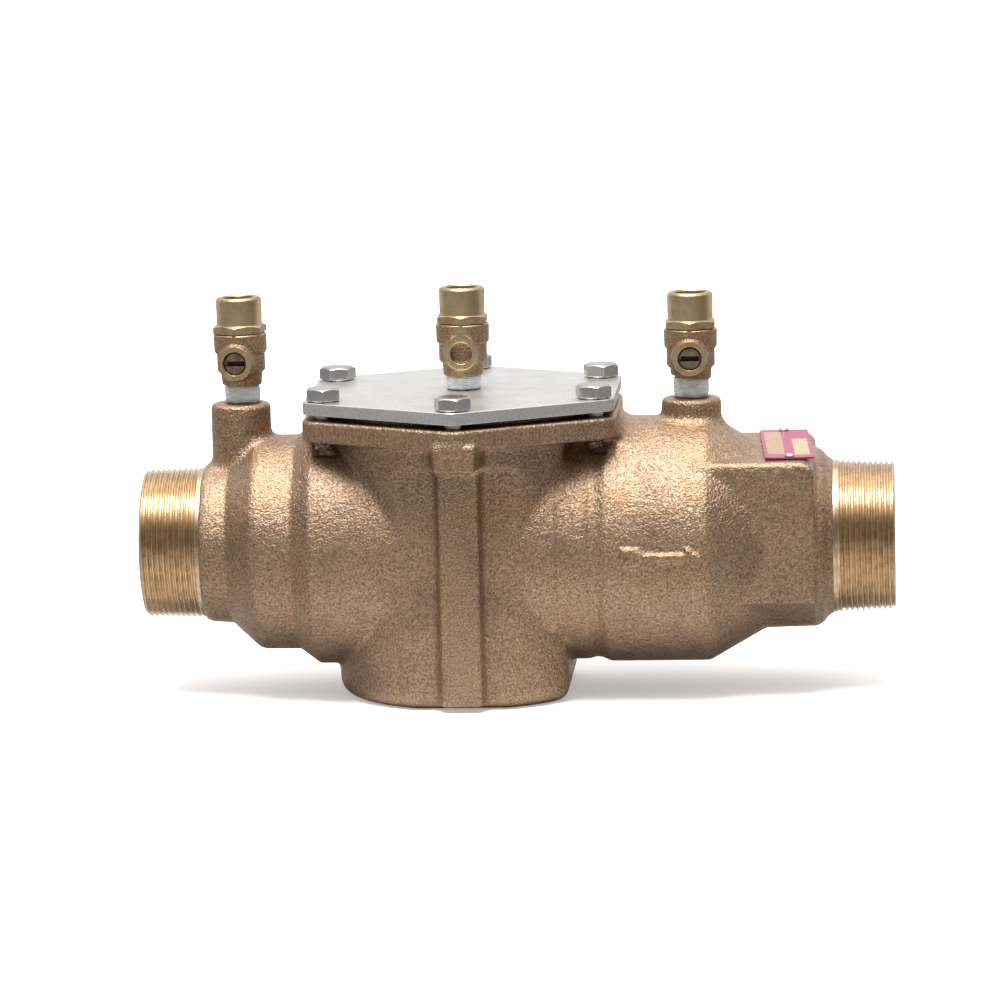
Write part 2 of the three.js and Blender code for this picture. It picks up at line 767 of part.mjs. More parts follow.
function addCheckModule(parent, label, x) {
  const module = new THREE.Group();
  module.position.set(x, 0, 0);
  parent.add(module);
  const add = (name, solid, material) => addPiece(module, `${label}_check_${name}`, solid, material);
  add('seat_ring', seatRing(), engineeringPlastic());
  add('seat_o_ring', ringAboutX(4.6, MODULE_RADIUS - 1.1, 1.05), rubber());
  add('cage', moduleCage(), engineeringPlastic());
  add('disc_holder', discHolder(), engineeringPlastic());
  add('rubber_disc', rubberDisc(), rubber());
  add('disc_retainer', discRetainer(), stainless());
  add('disc_screw', discScrew(), stainless());
  add('spring', closingSpring(), springSteel());
}

// Saddle, open at the top, that keeps the two modules apart.
function moduleSpacer() {
  const from = FIRST_MODULE_X + CAGE_LENGTH + SEAT_GAP;
  const to = SECOND_MODULE_X - SEAT_GAP;
  const whole = turnedAboutX(tube(from, to, 31, 35), CHANNEL);
  return whole.subtract(box(from - 1, to + 1, -40, 40, 8, 40));
}

// ---------------------------------------------------------------- nameplate

const PLATE_WIDTH = 19.6;
const PLATE_DEPTH = 62;
const PLATE_THICKNESS = 0.7;
const PLATE_X = 109;
const RIVET_Y = PLATE_DEPTH / 2 - 2.2;

function addNameplate(parent) {
  const seat = new THREE.Group();
  seat.position.set(PLATE_X, 0, WRENCH_MEAN_TOP + GAP);
  seat.rotation.set(WRENCH_SLOPE, 0, THREE.MathUtils.degToRad(3.2));
  parent.add(seat);
  const [halfWidth, halfDepth] = [PLATE_WIDTH / 2, PLATE_DEPTH / 2];
  let plate = box(-halfWidth, halfWidth, -halfDepth, halfDepth, 0, PLATE_THICKNESS);
  const rivet = turnedAboutZ(
    [
      [PLATE_THICKNESS + 0.1, 0],
      [PLATE_THICKNESS + 0.1, 2],
      [PLATE_THICKNESS + 0.8, 1.7],
      [PLATE_THICKNESS + 1.3, 0.8],
      [PLATE_THICKNESS + 1.4, 0],
    ],
    12,
  ).add(rodZ(0.1, PLATE_THICKNESS + 0.2, 1, 12));
  for (const [name, y] of [['front', -RIVET_Y], ['back', RIVET_Y]]) {
    plate = plate.subtract(rodZ(-1, 2, 1.3, 12).translate([0, y, 0]));
    addPiece(seat, `nameplate_rivet_${name}`, rivet.translate([0, y, 0]), aluminium());
  }
  addPiece(seat, 'nameplate', plate, plateRed());
}

// ---------------------------------------------------------------- assembly

const preventer = new THREE.Group();
const line = new THREE.Group(); // everything below is placed from the bore axis
line.position.set(0, 0, AXIS_HEIGHT);
preventer.add(line);

addPiece(line, 'body_casting', bodyCasting(), castBronze());
addPiece(line, 'cover_plate', coverPlate(), stainless());
addPiece(line, 'cover_o_ring', coverSeal(), rubber());

boltPlaces().forEach(({ x, y }, index) => {
  const bolt = addPiece(line, `cover_bolt_${index + 1}`, coverBolt(), stainless());
  bolt.position.set(x, y, COVER_TOP + SEAT_GAP);
  bolt.rotation.z = THREE.MathUtils.degToRad(BOLT_TURNS[index]);
});

addTestCock(line, 'inlet', {
  x: INLET_COCK_X,
  footZ: BOSS_TOP + 7.1,
  exposed: 7.1,
  engaged: 8.5,
  turn: -7,
  lean: -1,
});
addTestCock(line, 'middle', {
  x: CENTRE_X,
  footZ: COVER_TOP + 5.7,
  exposed: 5.7,
  engaged: 6,
  turn: 180,
  lean: 0,
});
addTestCock(line, 'outlet', {
  x: OUTLET_COCK_X,
  footZ: BOSS_TOP + 6.8,
  exposed: 6.8,
  engaged: 8.5,
  turn: 0,
  lean: 0,
});

addCheckModule(line, 'first', FIRST_MODULE_X);
addCheckModule(line, 'second', SECOND_MODULE_X);
addPiece(line, 'module_spacer', moduleSpacer(), engineeringPlastic());
addNameplate(line);

export default preventer;
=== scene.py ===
import math

import bmesh
import bpy
import numpy as np
import openvdb
from mathutils import Euler, Matrix, Vector


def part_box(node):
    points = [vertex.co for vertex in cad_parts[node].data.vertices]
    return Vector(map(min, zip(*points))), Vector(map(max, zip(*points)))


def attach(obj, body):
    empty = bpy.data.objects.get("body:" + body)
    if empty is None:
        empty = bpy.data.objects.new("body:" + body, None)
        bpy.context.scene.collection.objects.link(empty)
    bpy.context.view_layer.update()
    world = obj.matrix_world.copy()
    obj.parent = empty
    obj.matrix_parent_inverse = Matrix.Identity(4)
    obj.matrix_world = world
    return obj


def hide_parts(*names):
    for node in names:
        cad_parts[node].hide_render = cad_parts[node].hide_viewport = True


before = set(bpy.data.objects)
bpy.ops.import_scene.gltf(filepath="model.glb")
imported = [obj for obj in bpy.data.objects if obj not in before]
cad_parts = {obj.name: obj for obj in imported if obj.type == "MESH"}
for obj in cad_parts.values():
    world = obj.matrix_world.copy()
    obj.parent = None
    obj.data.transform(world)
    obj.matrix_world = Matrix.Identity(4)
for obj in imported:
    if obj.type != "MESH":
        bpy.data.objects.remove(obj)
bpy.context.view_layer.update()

# Lengths in this file are millimetres, counted from the bore axis below the middle of the valve,
# with +X along the flow and +Z up, until a mesh is made, which puts them into the frame's metres.

MM = 0.001


def node_box(name):
    low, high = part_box(name)
    return [v / MM for v in low], [v / MM for v in high]


def node_middle(name):
    low, high = node_box(name)
    return [(a + b) / 2 for a, b in zip(low, high)]


# ------------------------------------------------------------------ places read from the frame

AXIS_HEIGHT = node_middle("first_check_seat_ring")[2]
CASTING_LOW, CASTING_HIGH = node_box("body_casting")
COVER_LOW, COVER_HIGH = node_box("cover_plate")
END_X = CASTING_HIGH[0]
BASE_Z = CASTING_LOW[2] - AXIS_HEIGHT
CENTRE_X = (COVER_LOW[0] + COVER_HIGH[0]) / 2
COVER_BOTTOM = COVER_LOW[2] - AXIS_HEIGHT
COVER_TOP = COVER_HIGH[2] - AXIS_HEIGHT
COVER_APOTHEM = (COVER_HIGH[0] - COVER_LOW[0]) / 2

# ------------------------------------------------------------------ sizes shared by the pieces

THREAD_PITCH = 25.4 / 11.5
THREAD_DEPTH = 1.35
THREAD_LENGTH = 25
PORT_RADIUS = 25.5
BARREL_RADIUS = 49.7
NECK_RADIUS = 48.9
COLLAR_RADIUS = 32.8
SHOULDER_RADIUS = 43.75
CHAMBER_RADIUS = 42.8
WELL_RADIUS = 46
BODY_TOP_RADIUS = 55.4
BODY_BASE_RADIUS = 52.6
BODY_FLAT_Y = 49
BODY_RIGHT_X = 20.8
LEDGE_Z = 36
FLANGE_BOTTOM = 46
FLANGE_TOP = 54.7
FLANGE_APOTHEM = 63
LAND_RADIUS = 57
LAND_TOP = COVER_BOTTOM - 0.2
OPENING_RADIUS = 42.5
BOLT_CIRCLE = 62.6
BOLT_RADIUS = 3.9
BOLT_TURNS = (-12, -26, 10, 20, -17, -15)
BOSS_TOP = 57.6
TAPPED_OFF_CENTRE = 0.8
BOSS_RADIUS = 12.1
WRENCH_FLAT_Y = 37
WRENCH_END_X = 120.5
WRENCH_SLOPE = math.radians(2.1)
WRENCH_MEAN_TOP = 37.1
WRENCH_ROUND = 6

# Cell sizes of the rounded castings, and the most triangles that each of them keeps.
CASTING_STEP = 0.8
COCK_STEP = 0.34
CASTING_TRIANGLES = 190000
COCK_TRIANGLES = 26000

# ------------------------------------------------------------------ meshes


def make_object(name, points, faces, material, smooth=True, place=None):
    """A mesh object in the frame's metres from points in millimetres from the bore axis."""
    mesh = bpy.data.meshes.new(name)
    points = np.asarray(points, dtype=np.float64)
    if place is not None:
        turn = np.array(place.to_3x3())
        points = points @ turn.T + np.array(place.translation)
    points = (points + [0, 0, AXIS_HEIGHT]) * MM
    mesh.from_pydata(points.tolist(), [], faces if isinstance(faces, list) else faces.tolist())
    mesh.validate()
    mesh.polygons.foreach_set("use_smooth", [smooth] * len(mesh.polygons))
    mesh.materials.append(material)
    obj = bpy.data.objects.new(name, mesh)
    bpy.context.scene.collection.objects.link(obj)
    return obj


def apply_modifiers(obj):
    bpy.context.view_layer.objects.active = obj
    for modifier in list(obj.modifiers):
        bpy.ops.object.modifier_apply(modifier=modifier.name)


def bevelled(obj, width, angle=30):
    """Rounds the hard edges and leaves their shading crisp."""
    modifier = obj.modifiers.new("round_edges", "BEVEL")
    modifier.width = width * MM
    modifier.segments = 2
    modifier.limit_method = "ANGLE"
    modifier.angle_limit = math.radians(angle)
    modifier.harden_normals = True
    apply_modifiers(obj)
    return obj


def thinned(obj, most_triangles):
    obj.data.calc_loop_triangles()
    count = len(obj.data.loop_triangles)
    if count > most_triangles:
        modifier = obj.modifiers.new("thin", "DECIMATE")
        modifier.ratio = most_triangles / count
        apply_modifiers(obj)
    return obj


def stacked(rings, columns, loop=False):
    """Points and faces of a body made of rings round Z.

    Each ring is (radius, height), either of them one number or one value per column. With loop
    the last ring joins the first, otherwise the two end rings are closed with a fan.
    """
    angles = np.arange(columns) * 2 * np.pi / columns
    points = []
    for radius, height in rings:
        radius = np.broadcast_to(radius, columns)
        height = np.broadcast_to(height, columns)
        points.append(np.stack([radius * np.cos(angles), radius * np.sin(angles), height], 1))
    faces = []
    count = len(rings)
    for ring in range(count if loop else count - 1):
        low, high = ring * columns, (ring + 1) % count * columns
        for column in range(columns):
            after = (column + 1) % columns
            faces.append([low + column, low + after, high + after, high + column])
    points = np.concatenate(points)
    if not loop:
        ends = [points[:columns].mean(0), points[-columns:].mean(0)]
        bottom, top = len(points), len(points) + 1
        last = (count - 1) * columns
        for column in range(columns):
            after = (column + 1) % columns
            faces.append([bottom, after, column])
            faces.append([top, last + column, last + after])
        points = np.concatenate([points, ends])
    return points, faces


def turned_object(name, profile, material, place, columns, loop=False):
    """A turned piece. Profile points are (radius, height)."""
    points, faces = stacked(profile, columns, loop)
    return make_object(name, points, faces, material, place=place)


# ------------------------------------------------------------------ rounded castings
# A casting is a signed distance, negative inside, on a block of small cells. Joining two shapes
# with a radius leaves the fillet that a foundry pattern has.


def polygon_distance(points, px, py):
    px, py = np.broadcast_arrays(px, py)
    nearest = np.full(px.shape, np.inf)
    inside = np.zeros(px.shape, dtype=bool)
    for (ax, ay), (bx, by) in zip(points, points[1:] + points[:1]):
        ex, ey = bx - ax, by - ay
        share = np.clip(((px - ax) * ex + (py - ay) * ey) / (ex * ex + ey * ey), 0, 1)
        nearest = np.minimum(nearest, (px - ax - ex * share) ** 2 + (py - ay - ey * share) ** 2)
        if ay != by:
            inside ^= ((ay > py) != (by > py)) & (px < ex * (py - ay) / ey + ax)
    return (np.where(inside, -1, 1) * np.sqrt(nearest)).astype(np.float32)


def join(a, b, radius):
    overlap = np.maximum(radius - np.abs(a - b), 0) / radius
    return np.minimum(a, b) - overlap * overlap * radius / 4


def meet(a, b, radius):
    return -join(-a, -b, radius)


def cut(a, b, radius=0.6):
    return meet(a, -b, radius)


class Block:
    """Cells between two corners, with distances to turned and extruded shapes."""

    def __init__(self, low, high, step):
        self.low, self.step = np.array(low, dtype=float), step
        x, y, z = (np.arange(a, b + step, step, dtype=np.float32) for a, b in zip(low, high))
        self.x, self.y, self.z = x[:, None, None], y[None, :, None], z[None, None, :]

    def turned(self, axis, profile, centre=(0, 0)):
        """Profile points are (distance along the axis, radius)."""
        along, u, v = {
            "x": (self.x, self.y, self.z),
            "y": (self.y, self.x, self.z),
            "z": (self.z, self.x, self.y),
        }[axis]
        rho = np.hypot(u - centre[0], v - centre[1])
        fine = self.step / 2
        radii = np.arange(0, rho.max() + 2 * fine, fine, dtype=np.float32)
        deep = [(p, r if r > 0 else -radii[-1]) for p, r in profile]
        table = polygon_distance(deep, along.ravel()[:, None], radii[None, :])
        where = rho / fine
        cell = np.minimum(where.astype(np.int32), len(radii) - 2)
        share = where - cell
        if axis == "x":
            cell, share = cell[0], share[0]
            return table[:, cell] * (1 - share) + table[:, cell + 1] * share
        if axis == "z":
            cell, share = cell[:, :, 0], share[:, :, 0, None]
            table = table.T
            return table[cell] * (1 - share) + table[cell + 1] * share
        cell, share = cell[:, 0, :], share[:, 0, :]
        result = table[:, cell] * (1 - share) + table[:, cell + 1] * share
        return result.transpose(1, 0, 2)

    def rod(self, axis, start, end, radius, centre=(0, 0)):
        return self.turned(axis, [(start, 0), (start, radius), (end, radius), (end, 0)], centre)

    def extruded(self, axis, outline, start, end):
        u, v, w = {
            "x": (self.y, self.z, self.x),
            "y": (self.x, self.z, self.y),
            "z": (self.x, self.y, self.z),
        }[axis]
        flat = polygon_distance(outline, u, v)
        ends = np.abs(w - (start + end) / 2) - (end - start) / 2
        outside = np.hypot(np.maximum(flat, 0), np.maximum(ends, 0))
        return np.minimum(np.maximum(flat, ends), 0) + outside

    def softened(self, field, spread):
        """Rounds every edge a little, as sand does."""
        reach = int(math.ceil(2 * spread / self.step))
        offsets = range(-reach, reach + 1)
        weights = [math.exp(-0.5 * (k * self.step / spread) ** 2) for k in offsets]
        total = sum(weights)
        for axis in range(3):
            padded = np.pad(field, [(reach, reach) if a == axis else (0, 0) for a in range(3)], "edge")
            field = sum(
                np.take(padded, range(k + reach, k + reach + field.shape[axis]), axis) * (w / total)
                for k, w in zip(offsets, weights)
            )
        return field

    def surface(self, field):
        """Points and quads of the surface where the distance is zero."""
        far = 4 * self.step
        grid = openvdb.FloatGrid(far)
        grid.gridClass = openvdb.GridClass.LEVEL_SET
        grid.copyFromArray(np.clip(field, -far, far).astype(np.float32))
        points, quads = grid.convertToQuads(isovalue=0.0)
        return points * self.step + self.low, quads[:, ::-1]


def arc_points(cx, cy, radius, start, end, count):
    return [
        (cx + radius * math.cos(a), cy + radius * math.sin(a))
        for a in (start + (end - start) * k / count for k in range(count + 1))
    ]


def rounded_hexagon(apothem, corner, arc=6):
    """Two of its corners lie on the Y axis through the middle of the cover."""
    reach = (apothem - corner) / math.cos(math.pi / 6)
    points = []
    for side in range(6):
        angle = math.pi / 2 + side * math.pi / 3
        cx, cy = CENTRE_X + reach * math.cos(angle), reach * math.sin(angle)
        points += arc_points(cx, cy, corner, angle - math.pi / 6, angle + math.pi / 6, arc)
    return points


def bolt_places():
    """Where each bolt stands and how far its head was turned when it was tightened."""
    places = []
    for number, turned in enumerate(BOLT_TURNS):
        angle = -math.pi / 2 - number * math.pi / 3
        x, y = CENTRE_X + BOLT_CIRCLE * math.cos(angle), BOLT_CIRCLE * math.sin(angle)
        places.append((x, y, math.radians(turned)))
    return places


# ------------------------------------------------------------------ materials


class Look:
    """A Principled material with small helpers for its nodes."""

    def __init__(self, name, metallic, specular=0.5):
        self.material = bpy.data.materials.new(name)
        self.material.use_nodes = True
        self.tree = self.material.node_tree
        self.shader = self.tree.nodes["Principled BSDF"]
        self.shader.inputs["Metallic"].default_value = metallic
        self.shader.inputs["Specular IOR Level"].default_value = specular
        self.place = self.tree.nodes.new("ShaderNodeTexCoord").outputs["Object"]

    def node(self, kind, **inputs):
        made = self.tree.nodes.new(kind)
        for key, value in inputs.items():
            socket = made.inputs[key.replace("_", " ")]
            if isinstance(value, bpy.types.NodeSocket):
                self.tree.links.new(value, socket)
            else:
                socket.default_value = value
        return made

    def scaled_place(self, scale):
        mapping = self.node("ShaderNodeMapping", Vector=self.place)
        mapping.inputs["Scale"].default_value = scale
        return mapping.outputs[0]

    def noise(self, size, detail, roughness=0.5, place=None):
        """Noise whose lumps are about size millimetres across."""
        made = self.node(
            "ShaderNodeTexNoise", Vector=place or self.place, Scale=1 / (size * MM), Detail=detail
        )
        made.inputs["Roughness"].default_value = roughness
        return made.outputs["Fac"]

    def ramp(self, value, stops):
        """stops are (place, grey or colour)."""
        made = self.node("ShaderNodeValToRGB", Fac=value)
        elements = made.color_ramp.elements
        while len(elements) < len(stops):
            elements.new(0.5)
        for element, (where, tone) in zip(elements, stops):
            element.position = where
            colour = (tone, tone, tone) if isinstance(tone, (int, float)) else tone
            element.color = (*colour, 1)
        return made.outputs["Color"]

    def mix(self, share, a, b, blend="MIX"):
        made = self.tree.nodes.new("ShaderNodeMix")
        made.data_type = "RGBA"
        made.blend_type = blend
        for key, value in (("Factor", share), ("A", a), ("B", b)):
            socket = [s for s in made.inputs if s.name == key and s.enabled][0]
            if isinstance(value, bpy.types.NodeSocket):
                self.tree.links.new(value, socket)
            elif key == "Factor":
                socket.default_value = value
            else:
                socket.default_value = (*value, 1)
        return [s for s in made.outputs if s.enabled][0]

    def math(self, operation, a, b=0.0):
        made = self.tree.nodes.new("ShaderNodeMath")
        made.operation = operation
        for socket, value in zip(made.inputs, (a, b)):
            if isinstance(value, bpy.types.NodeSocket):
                self.tree.links.new(value, socket)
            else:
                socket.default_value = value
        return made.outputs[0]

    def bump(self, height, depth, strength, under=None):
        """depth is the full height of the relief in millimetres."""
        made = self.node("ShaderNodeBump", Height=height, Strength=strength, Distance=depth * MM)
        if under is not None:
            self.tree.links.new(under, made.inputs["Normal"])
        return made.outputs["Normal"]

    def finish(self, colour=None, roughness=None, normal=None):
        for key, value in (("Base Color", colour), ("Roughness", roughness), ("Normal", normal)):
            if isinstance(value, bpy.types.NodeSocket):
                self.tree.links.new(value, self.shader.inputs[key])
            elif key == "Base Color" and value is not None:
                self.shader.inputs[key].default_value = (*value, 1)
            elif value is not None:
                self.shader.inputs[key].default_value = value
        return self.material


def cast_bronze(name, grain, colour, relief):
    """Shot blasted sand casting: an orange-peel skin with small glints, darker in its pits as painted
    shade and lighter on its bumps as painted highlight.
    """
    look = Look(name, metallic=0.92)
    fine = look.noise(grain, detail=3, roughness=0.6)
    coarse = look.noise(grain * 3.6, detail=2)
    patches = look.noise(20, detail=3)
    # The skin's colour follows the same noise as its relief: painted shade in the pits, painted highlight
    # on the peaks.
    dark = tuple(c * 0.58 for c in colour)
    light = tuple(min(1, c * 1.3 + 0.02) for c in colour)
    skin = look.ramp(fine, [(0.36, dark), (0.5, colour), (0.64, light)])
    tint = look.ramp(patches, [(0.3, (0.8, 0.78, 0.8)), (0.5, (1, 1, 1)), (0.7, (1.0, 0.93, 0.84))])
    tone = look.mix(1.0, skin, tint, "MULTIPLY")
    roughness = look.ramp(fine, [(0.38, 0.5), (0.62, 0.33)])
    lumps = look.bump(coarse, relief * 1.3, 0.7)
    normal = look.bump(fine, relief, 1.0, under=lumps)
    look.shader.inputs["Coat Weight"].default_value = 0.25
    look.shader.inputs["Coat Roughness"].default_value = 0.35
    look.shader.inputs["Coat IOR"].default_value = 1.65
    look.tree.links.new(normal, look.shader.inputs["Coat Normal"])
    return look.finish(tone, roughness, normal)


def machined_metal(name, colour, worn, roughness, line_size):
    """Turned or milled metal with fine tool lines across one direction and tarnish spots."""
    look = Look(name, metallic=1.0)
    lines = look.noise(1.0, detail=2, place=look.scaled_place((1 / line_size, 0.15, 0.15)))
    spots = look.noise(3.5, detail=4, roughness=0.65)
    stain = look.ramp(spots, [(0.38, worn), (0.55, colour)])
    shade = look.ramp(lines, [(0.3, 0.86), (0.7, 1.0)])
    tone = look.mix(1.0, stain, shade, "MULTIPLY")
    rough = look.ramp(spots, [(0.35, min(1.0, roughness * 1.3)), (0.6, roughness)])
    normal = look.bump(lines, 0.015, 0.4)
    return look.finish(tone, rough, normal)


def rolled_stainless(name, colour, roughness, grain):
    """Bright metal with faint clouds and specks of its mill finish."""
    look = Look(name, metallic=1.0)
    fine = look.noise(grain, detail=3, roughness=0.6)
    cloud = look.noise(18, detail=4)
    tone = look.ramp(cloud, [(0.35, tuple(c * 0.84 for c in colour)), (0.65, colour)])
    specks = look.ramp(fine, [(0.35, 0.78), (0.6, 1.0)])
    rough = look.ramp(cloud, [(0.35, roughness * 1.15), (0.65, roughness * 0.9)])
    normal = look.bump(fine, 0.05, 0.8)
    return look.finish(look.mix(1.0, tone, specks, "MULTIPLY"), rough, normal)


def moulded(name, colour, roughness, grain):
    """Plastic or rubber with a fine mould texture."""
    look = Look(name, metallic=0.0, specular=0.4)
    fine = look.noise(grain, detail=2)
    cloud = look.noise(9, detail=3)
    tone = look.ramp(cloud, [(0.35, tuple(c * 0.85 for c in colour)), (0.65, colour)])
    rough = look.ramp(fine, [(0.35, min(1.0, roughness * 1.15)), (0.65, roughness * 0.9)])
    return look.finish(tone, rough, look.bump(fine, 0.02, 0.7))


def tape_look():
    """Stretched white sealing tape: glossy ridges along the wrap."""
    look = Look("thread_tape", metallic=0.0, specular=0.5)
    ridges = look.noise(1.0, detail=3, place=look.scaled_place((0.35, 0.35, 1.6)))
    tone = look.ramp(ridges, [(0.35, (0.70, 0.70, 0.68)), (0.55, (0.92, 0.92, 0.90))])
    look.shader.inputs["Subsurface Weight"].default_value = 0.15
    return look.finish(tone, 0.38, look.bump(ridges, 0.25, 1.0))


def nameplate_look():
    """Printed foil: a dark red ground with two blank pale fields, ruled but not lettered."""
    look = Look("nameplate", metallic=0.35)
    uv = look.tree.nodes.new("ShaderNodeUVMap")
    uv.uv_map = "plate"
    split = look.node("ShaderNodeSeparateXYZ", Vector=uv.outputs[0])
    u, v = split.outputs[0], split.outputs[1]

    def within(value, low, high):
        above = look.math("GREATER_THAN", value, low)
        return look.math("MULTIPLY", above, look.math("LESS_THAN", value, high))

    def field(u0, u1, v0, v1):
        return look.math("MULTIPLY", within(u, u0, u1), within(v, v0, v1))

    ground = look.ramp(
        look.noise(2.5, detail=4), [(0.3, (0.30, 0.045, 0.10)), (0.7, (0.42, 0.07, 0.15))]
    )
    pale = look.ramp(
        look.noise(1.5, detail=3), [(0.3, (0.38, 0.31, 0.17)), (0.7, (0.52, 0.44, 0.26))]
    )
    rows = look.math("FRACT", look.math("MULTIPLY", v, 14.0))
    ruled = look.math("GREATER_THAN", rows, 0.6)
    ink = look.mix(ruled, pale, (0.34, 0.06, 0.08))
    left = field(0.07, 0.42, 0.12, 0.90)
    right = field(0.62, 0.93, 0.10, 0.66)
    colour = look.mix(left, ground, ink)
    colour = look.mix(right, colour, pale)
    fine = look.noise(0.8, detail=2)
    rough = look.ramp(fine, [(0.3, 0.42), (0.7, 0.3)])
    return look.finish(colour, rough, look.bump(fine, 0.02, 0.5))


BRONZE = cast_bronze("cast_bronze", 0.85, (0.36, 0.236, 0.146), 0.5)
COCK_BRONZE = cast_bronze("cock_bronze", 0.7, (0.36, 0.225, 0.13), 0.4)
THREAD_BRASS = machined_metal("thread_bronze", (0.74, 0.56, 0.37), (0.60, 0.43, 0.27), 0.2, 0.25)
BRASS = machined_metal("machined_brass", (0.55, 0.43, 0.26), (0.42, 0.31, 0.17), 0.36, 0.3)
RING_BRASS = machined_metal("ring_brass", (0.62, 0.48, 0.28), (0.50, 0.36, 0.2), 0.34, 0.3)
STEM_BRASS = machined_metal("stem_brass", (0.36, 0.27, 0.17), (0.2, 0.14, 0.09), 0.36, 0.3)
# Near-black painted shade for the stem's slot, which would otherwise look as pale as the stem's head.
SLOT_PAINTED_SHADE = moulded("slot_painted_shade", (0.035, 0.026, 0.018), 0.6, 0.5)
COVER_STEEL = rolled_stainless("cover_steel", (0.70, 0.695, 0.685), 0.42, 0.7)
BOLT_STEEL = rolled_stainless("bolt_steel", (0.52, 0.505, 0.48), 0.24, 0.4)
SPRING_STEEL = rolled_stainless("spring_steel", (0.5, 0.5, 0.5), 0.3, 0.3)
BALL_CHROME = rolled_stainless("ball_chrome", (0.8, 0.8, 0.82), 0.12, 0.3)
RUBBER = moulded("rubber", (0.03, 0.03, 0.032), 0.6, 0.6)
CHECK_PLASTIC = moulded("check_plastic", (0.055, 0.06, 0.065), 0.45, 0.8)
SEAL_PLASTIC = moulded("seal_plastic", (0.82, 0.80, 0.75), 0.4, 0.6)
RIVET_METAL = rolled_stainless("rivet_metal", (0.7, 0.68, 0.66), 0.25, 0.3)
TAPE = tape_look()
NAMEPLATE = nameplate_look()

# ------------------------------------------------------------------ the body casting


def barrel_profile():
    end = END_X - THREAD_LENGTH
    return [
        (-end - 0.6, 0),
        (-end - 0.6, COLLAR_RADIUS - 1.5),
        (-125.4, COLLAR_RADIUS - 0.4),
        (-117, COLLAR_RADIUS + 0.1),
        (-106.2, SHOULDER_RADIUS - 0.9),
        (-103.5, SHOULDER_RADIUS),
        (-89.5, SHOULDER_RADIUS),
        (-81.5, BARREL_RADIUS),
        (BODY_RIGHT_X - 4, BARREL_RADIUS),
        (BODY_RIGHT_X - 3, NECK_RADIUS),
        (28.5, NECK_RADIUS),
        (31, NECK_RADIUS - 0.9),
        (33.5, NECK_RADIUS - 0.6),
        (37, BARREL_RADIUS + 0.2),
        (77, BARREL_RADIUS + 0.2),
        (79, BARREL_RADIUS - 0.8),
        (100, WRENCH_FLAT_Y),
        (WRENCH_END_X, WRENCH_FLAT_Y - 0.5),
        (WRENCH_END_X + 3, 34.8),
        (WRENCH_END_X + 4.6, 32.7),
        (end - 0.5, 31.3),
        (end + 0.6, 30.9),
        (end + 0.6, 0),
    ]


def waterway_profiles(first_x, second_x):
    """Inside of the barrel, with the bores that hold the two check modules."""
    ring, length, cage = 36.0, 9.2, 33.8
    stop = first_x - 0.2
    inlet = [
        (-END_X - 2, 0),
        (-END_X - 2, PORT_RADIUS),
        (-113, PORT_RADIUS),
        (-101, ring),
        (-90, ring),
        (stop - 4, 32),
        (stop, 32),
        (stop, ring),
        (first_x + length, ring),
        (first_x + length, CHAMBER_RADIUS),
        (CENTRE_X, CHAMBER_RADIUS),
        (CENTRE_X, 0),
    ]
    outlet = [
        (CENTRE_X, 0),
        (CENTRE_X, ring),
        (second_x + length, ring),
        (second_x + length, cage),
        (34, cage),
        (37, CHAMBER_RADIUS),
        (75, CHAMBER_RADIUS),
        (83, 39),
        (100, 27),
        (104, PORT_RADIUS),
        (END_X + 2, PORT_RADIUS),
        (END_X + 2, 0),
    ]
    return inlet, outlet


def vertical_body(block):
    x, y, z = block.x, block.y, block.z
    radius = BODY_BASE_RADIUS + (z - BASE_Z) * (BODY_TOP_RADIUS - BODY_BASE_RADIUS) / (
        FLANGE_BOTTOM - BASE_Z
    )
    body = np.hypot(x - CENTRE_X, y) - radius
    body = meet(body, z - FLANGE_BOTTOM - 2, 1.0)
    body = meet(body, np.minimum(np.abs(y) - BODY_FLAT_Y, LEDGE_Z - z) + 0 * x, 0.8)
    body = meet(body, x - BODY_RIGHT_X + 0 * z, 1.6)
    return meet(body, BASE_Z - z + 0 * x, 7.5)


def rib_and_boss(block, side):
    def outline(inner, outer, inner_half, outer_half):
        return [
            (CENTRE_X + 0.6 - inner_half, side * inner),
            (CENTRE_X + 0.6 + inner_half, side * inner),
            (CENTRE_X + 0.6 + outer_half, side * outer),
            (CENTRE_X + 0.6 - outer_half, side * outer),
        ]

    rib = block.extruded("z", outline(46, 55.2, 11.2, 7.6), BASE_Z + 2.5, FLANGE_BOTTOM)
    boss = block.extruded("z", outline(50, 70.8, 11.5, 8), 38, FLANGE_BOTTOM + 2)
    return join(rib, boss, 2.0)


def wrench_section(block):
    """Flats for a wrench, with a rounded upper corner at the outlet end."""

    def top(y):
        return WRENCH_MEAN_TOP + y * math.tan(WRENCH_SLOPE)

    outline = [
        (-WRENCH_FLAT_Y, -21),
        (-17, -33.5),
        (17, -33.5),
        (WRENCH_FLAT_Y, -21),
        (WRENCH_FLAT_Y, top(WRENCH_FLAT_Y)),
        (-WRENCH_FLAT_Y, top(-WRENCH_FLAT_Y)),
    ]
    prism = block.extruded("x", outline, 72, WRENCH_END_X)
    beyond = np.maximum(block.x - WRENCH_END_X + WRENCH_ROUND, 0)
    above = np.maximum(block.z - top(block.y) + WRENCH_ROUND, 0)
    prism = meet(prism, np.hypot(beyond, above) - WRENCH_ROUND, 0.6)
    return meet(prism, block.rod("x", 60, WRENCH_END_X + 5, BARREL_RADIUS + 0.9), 1.5)


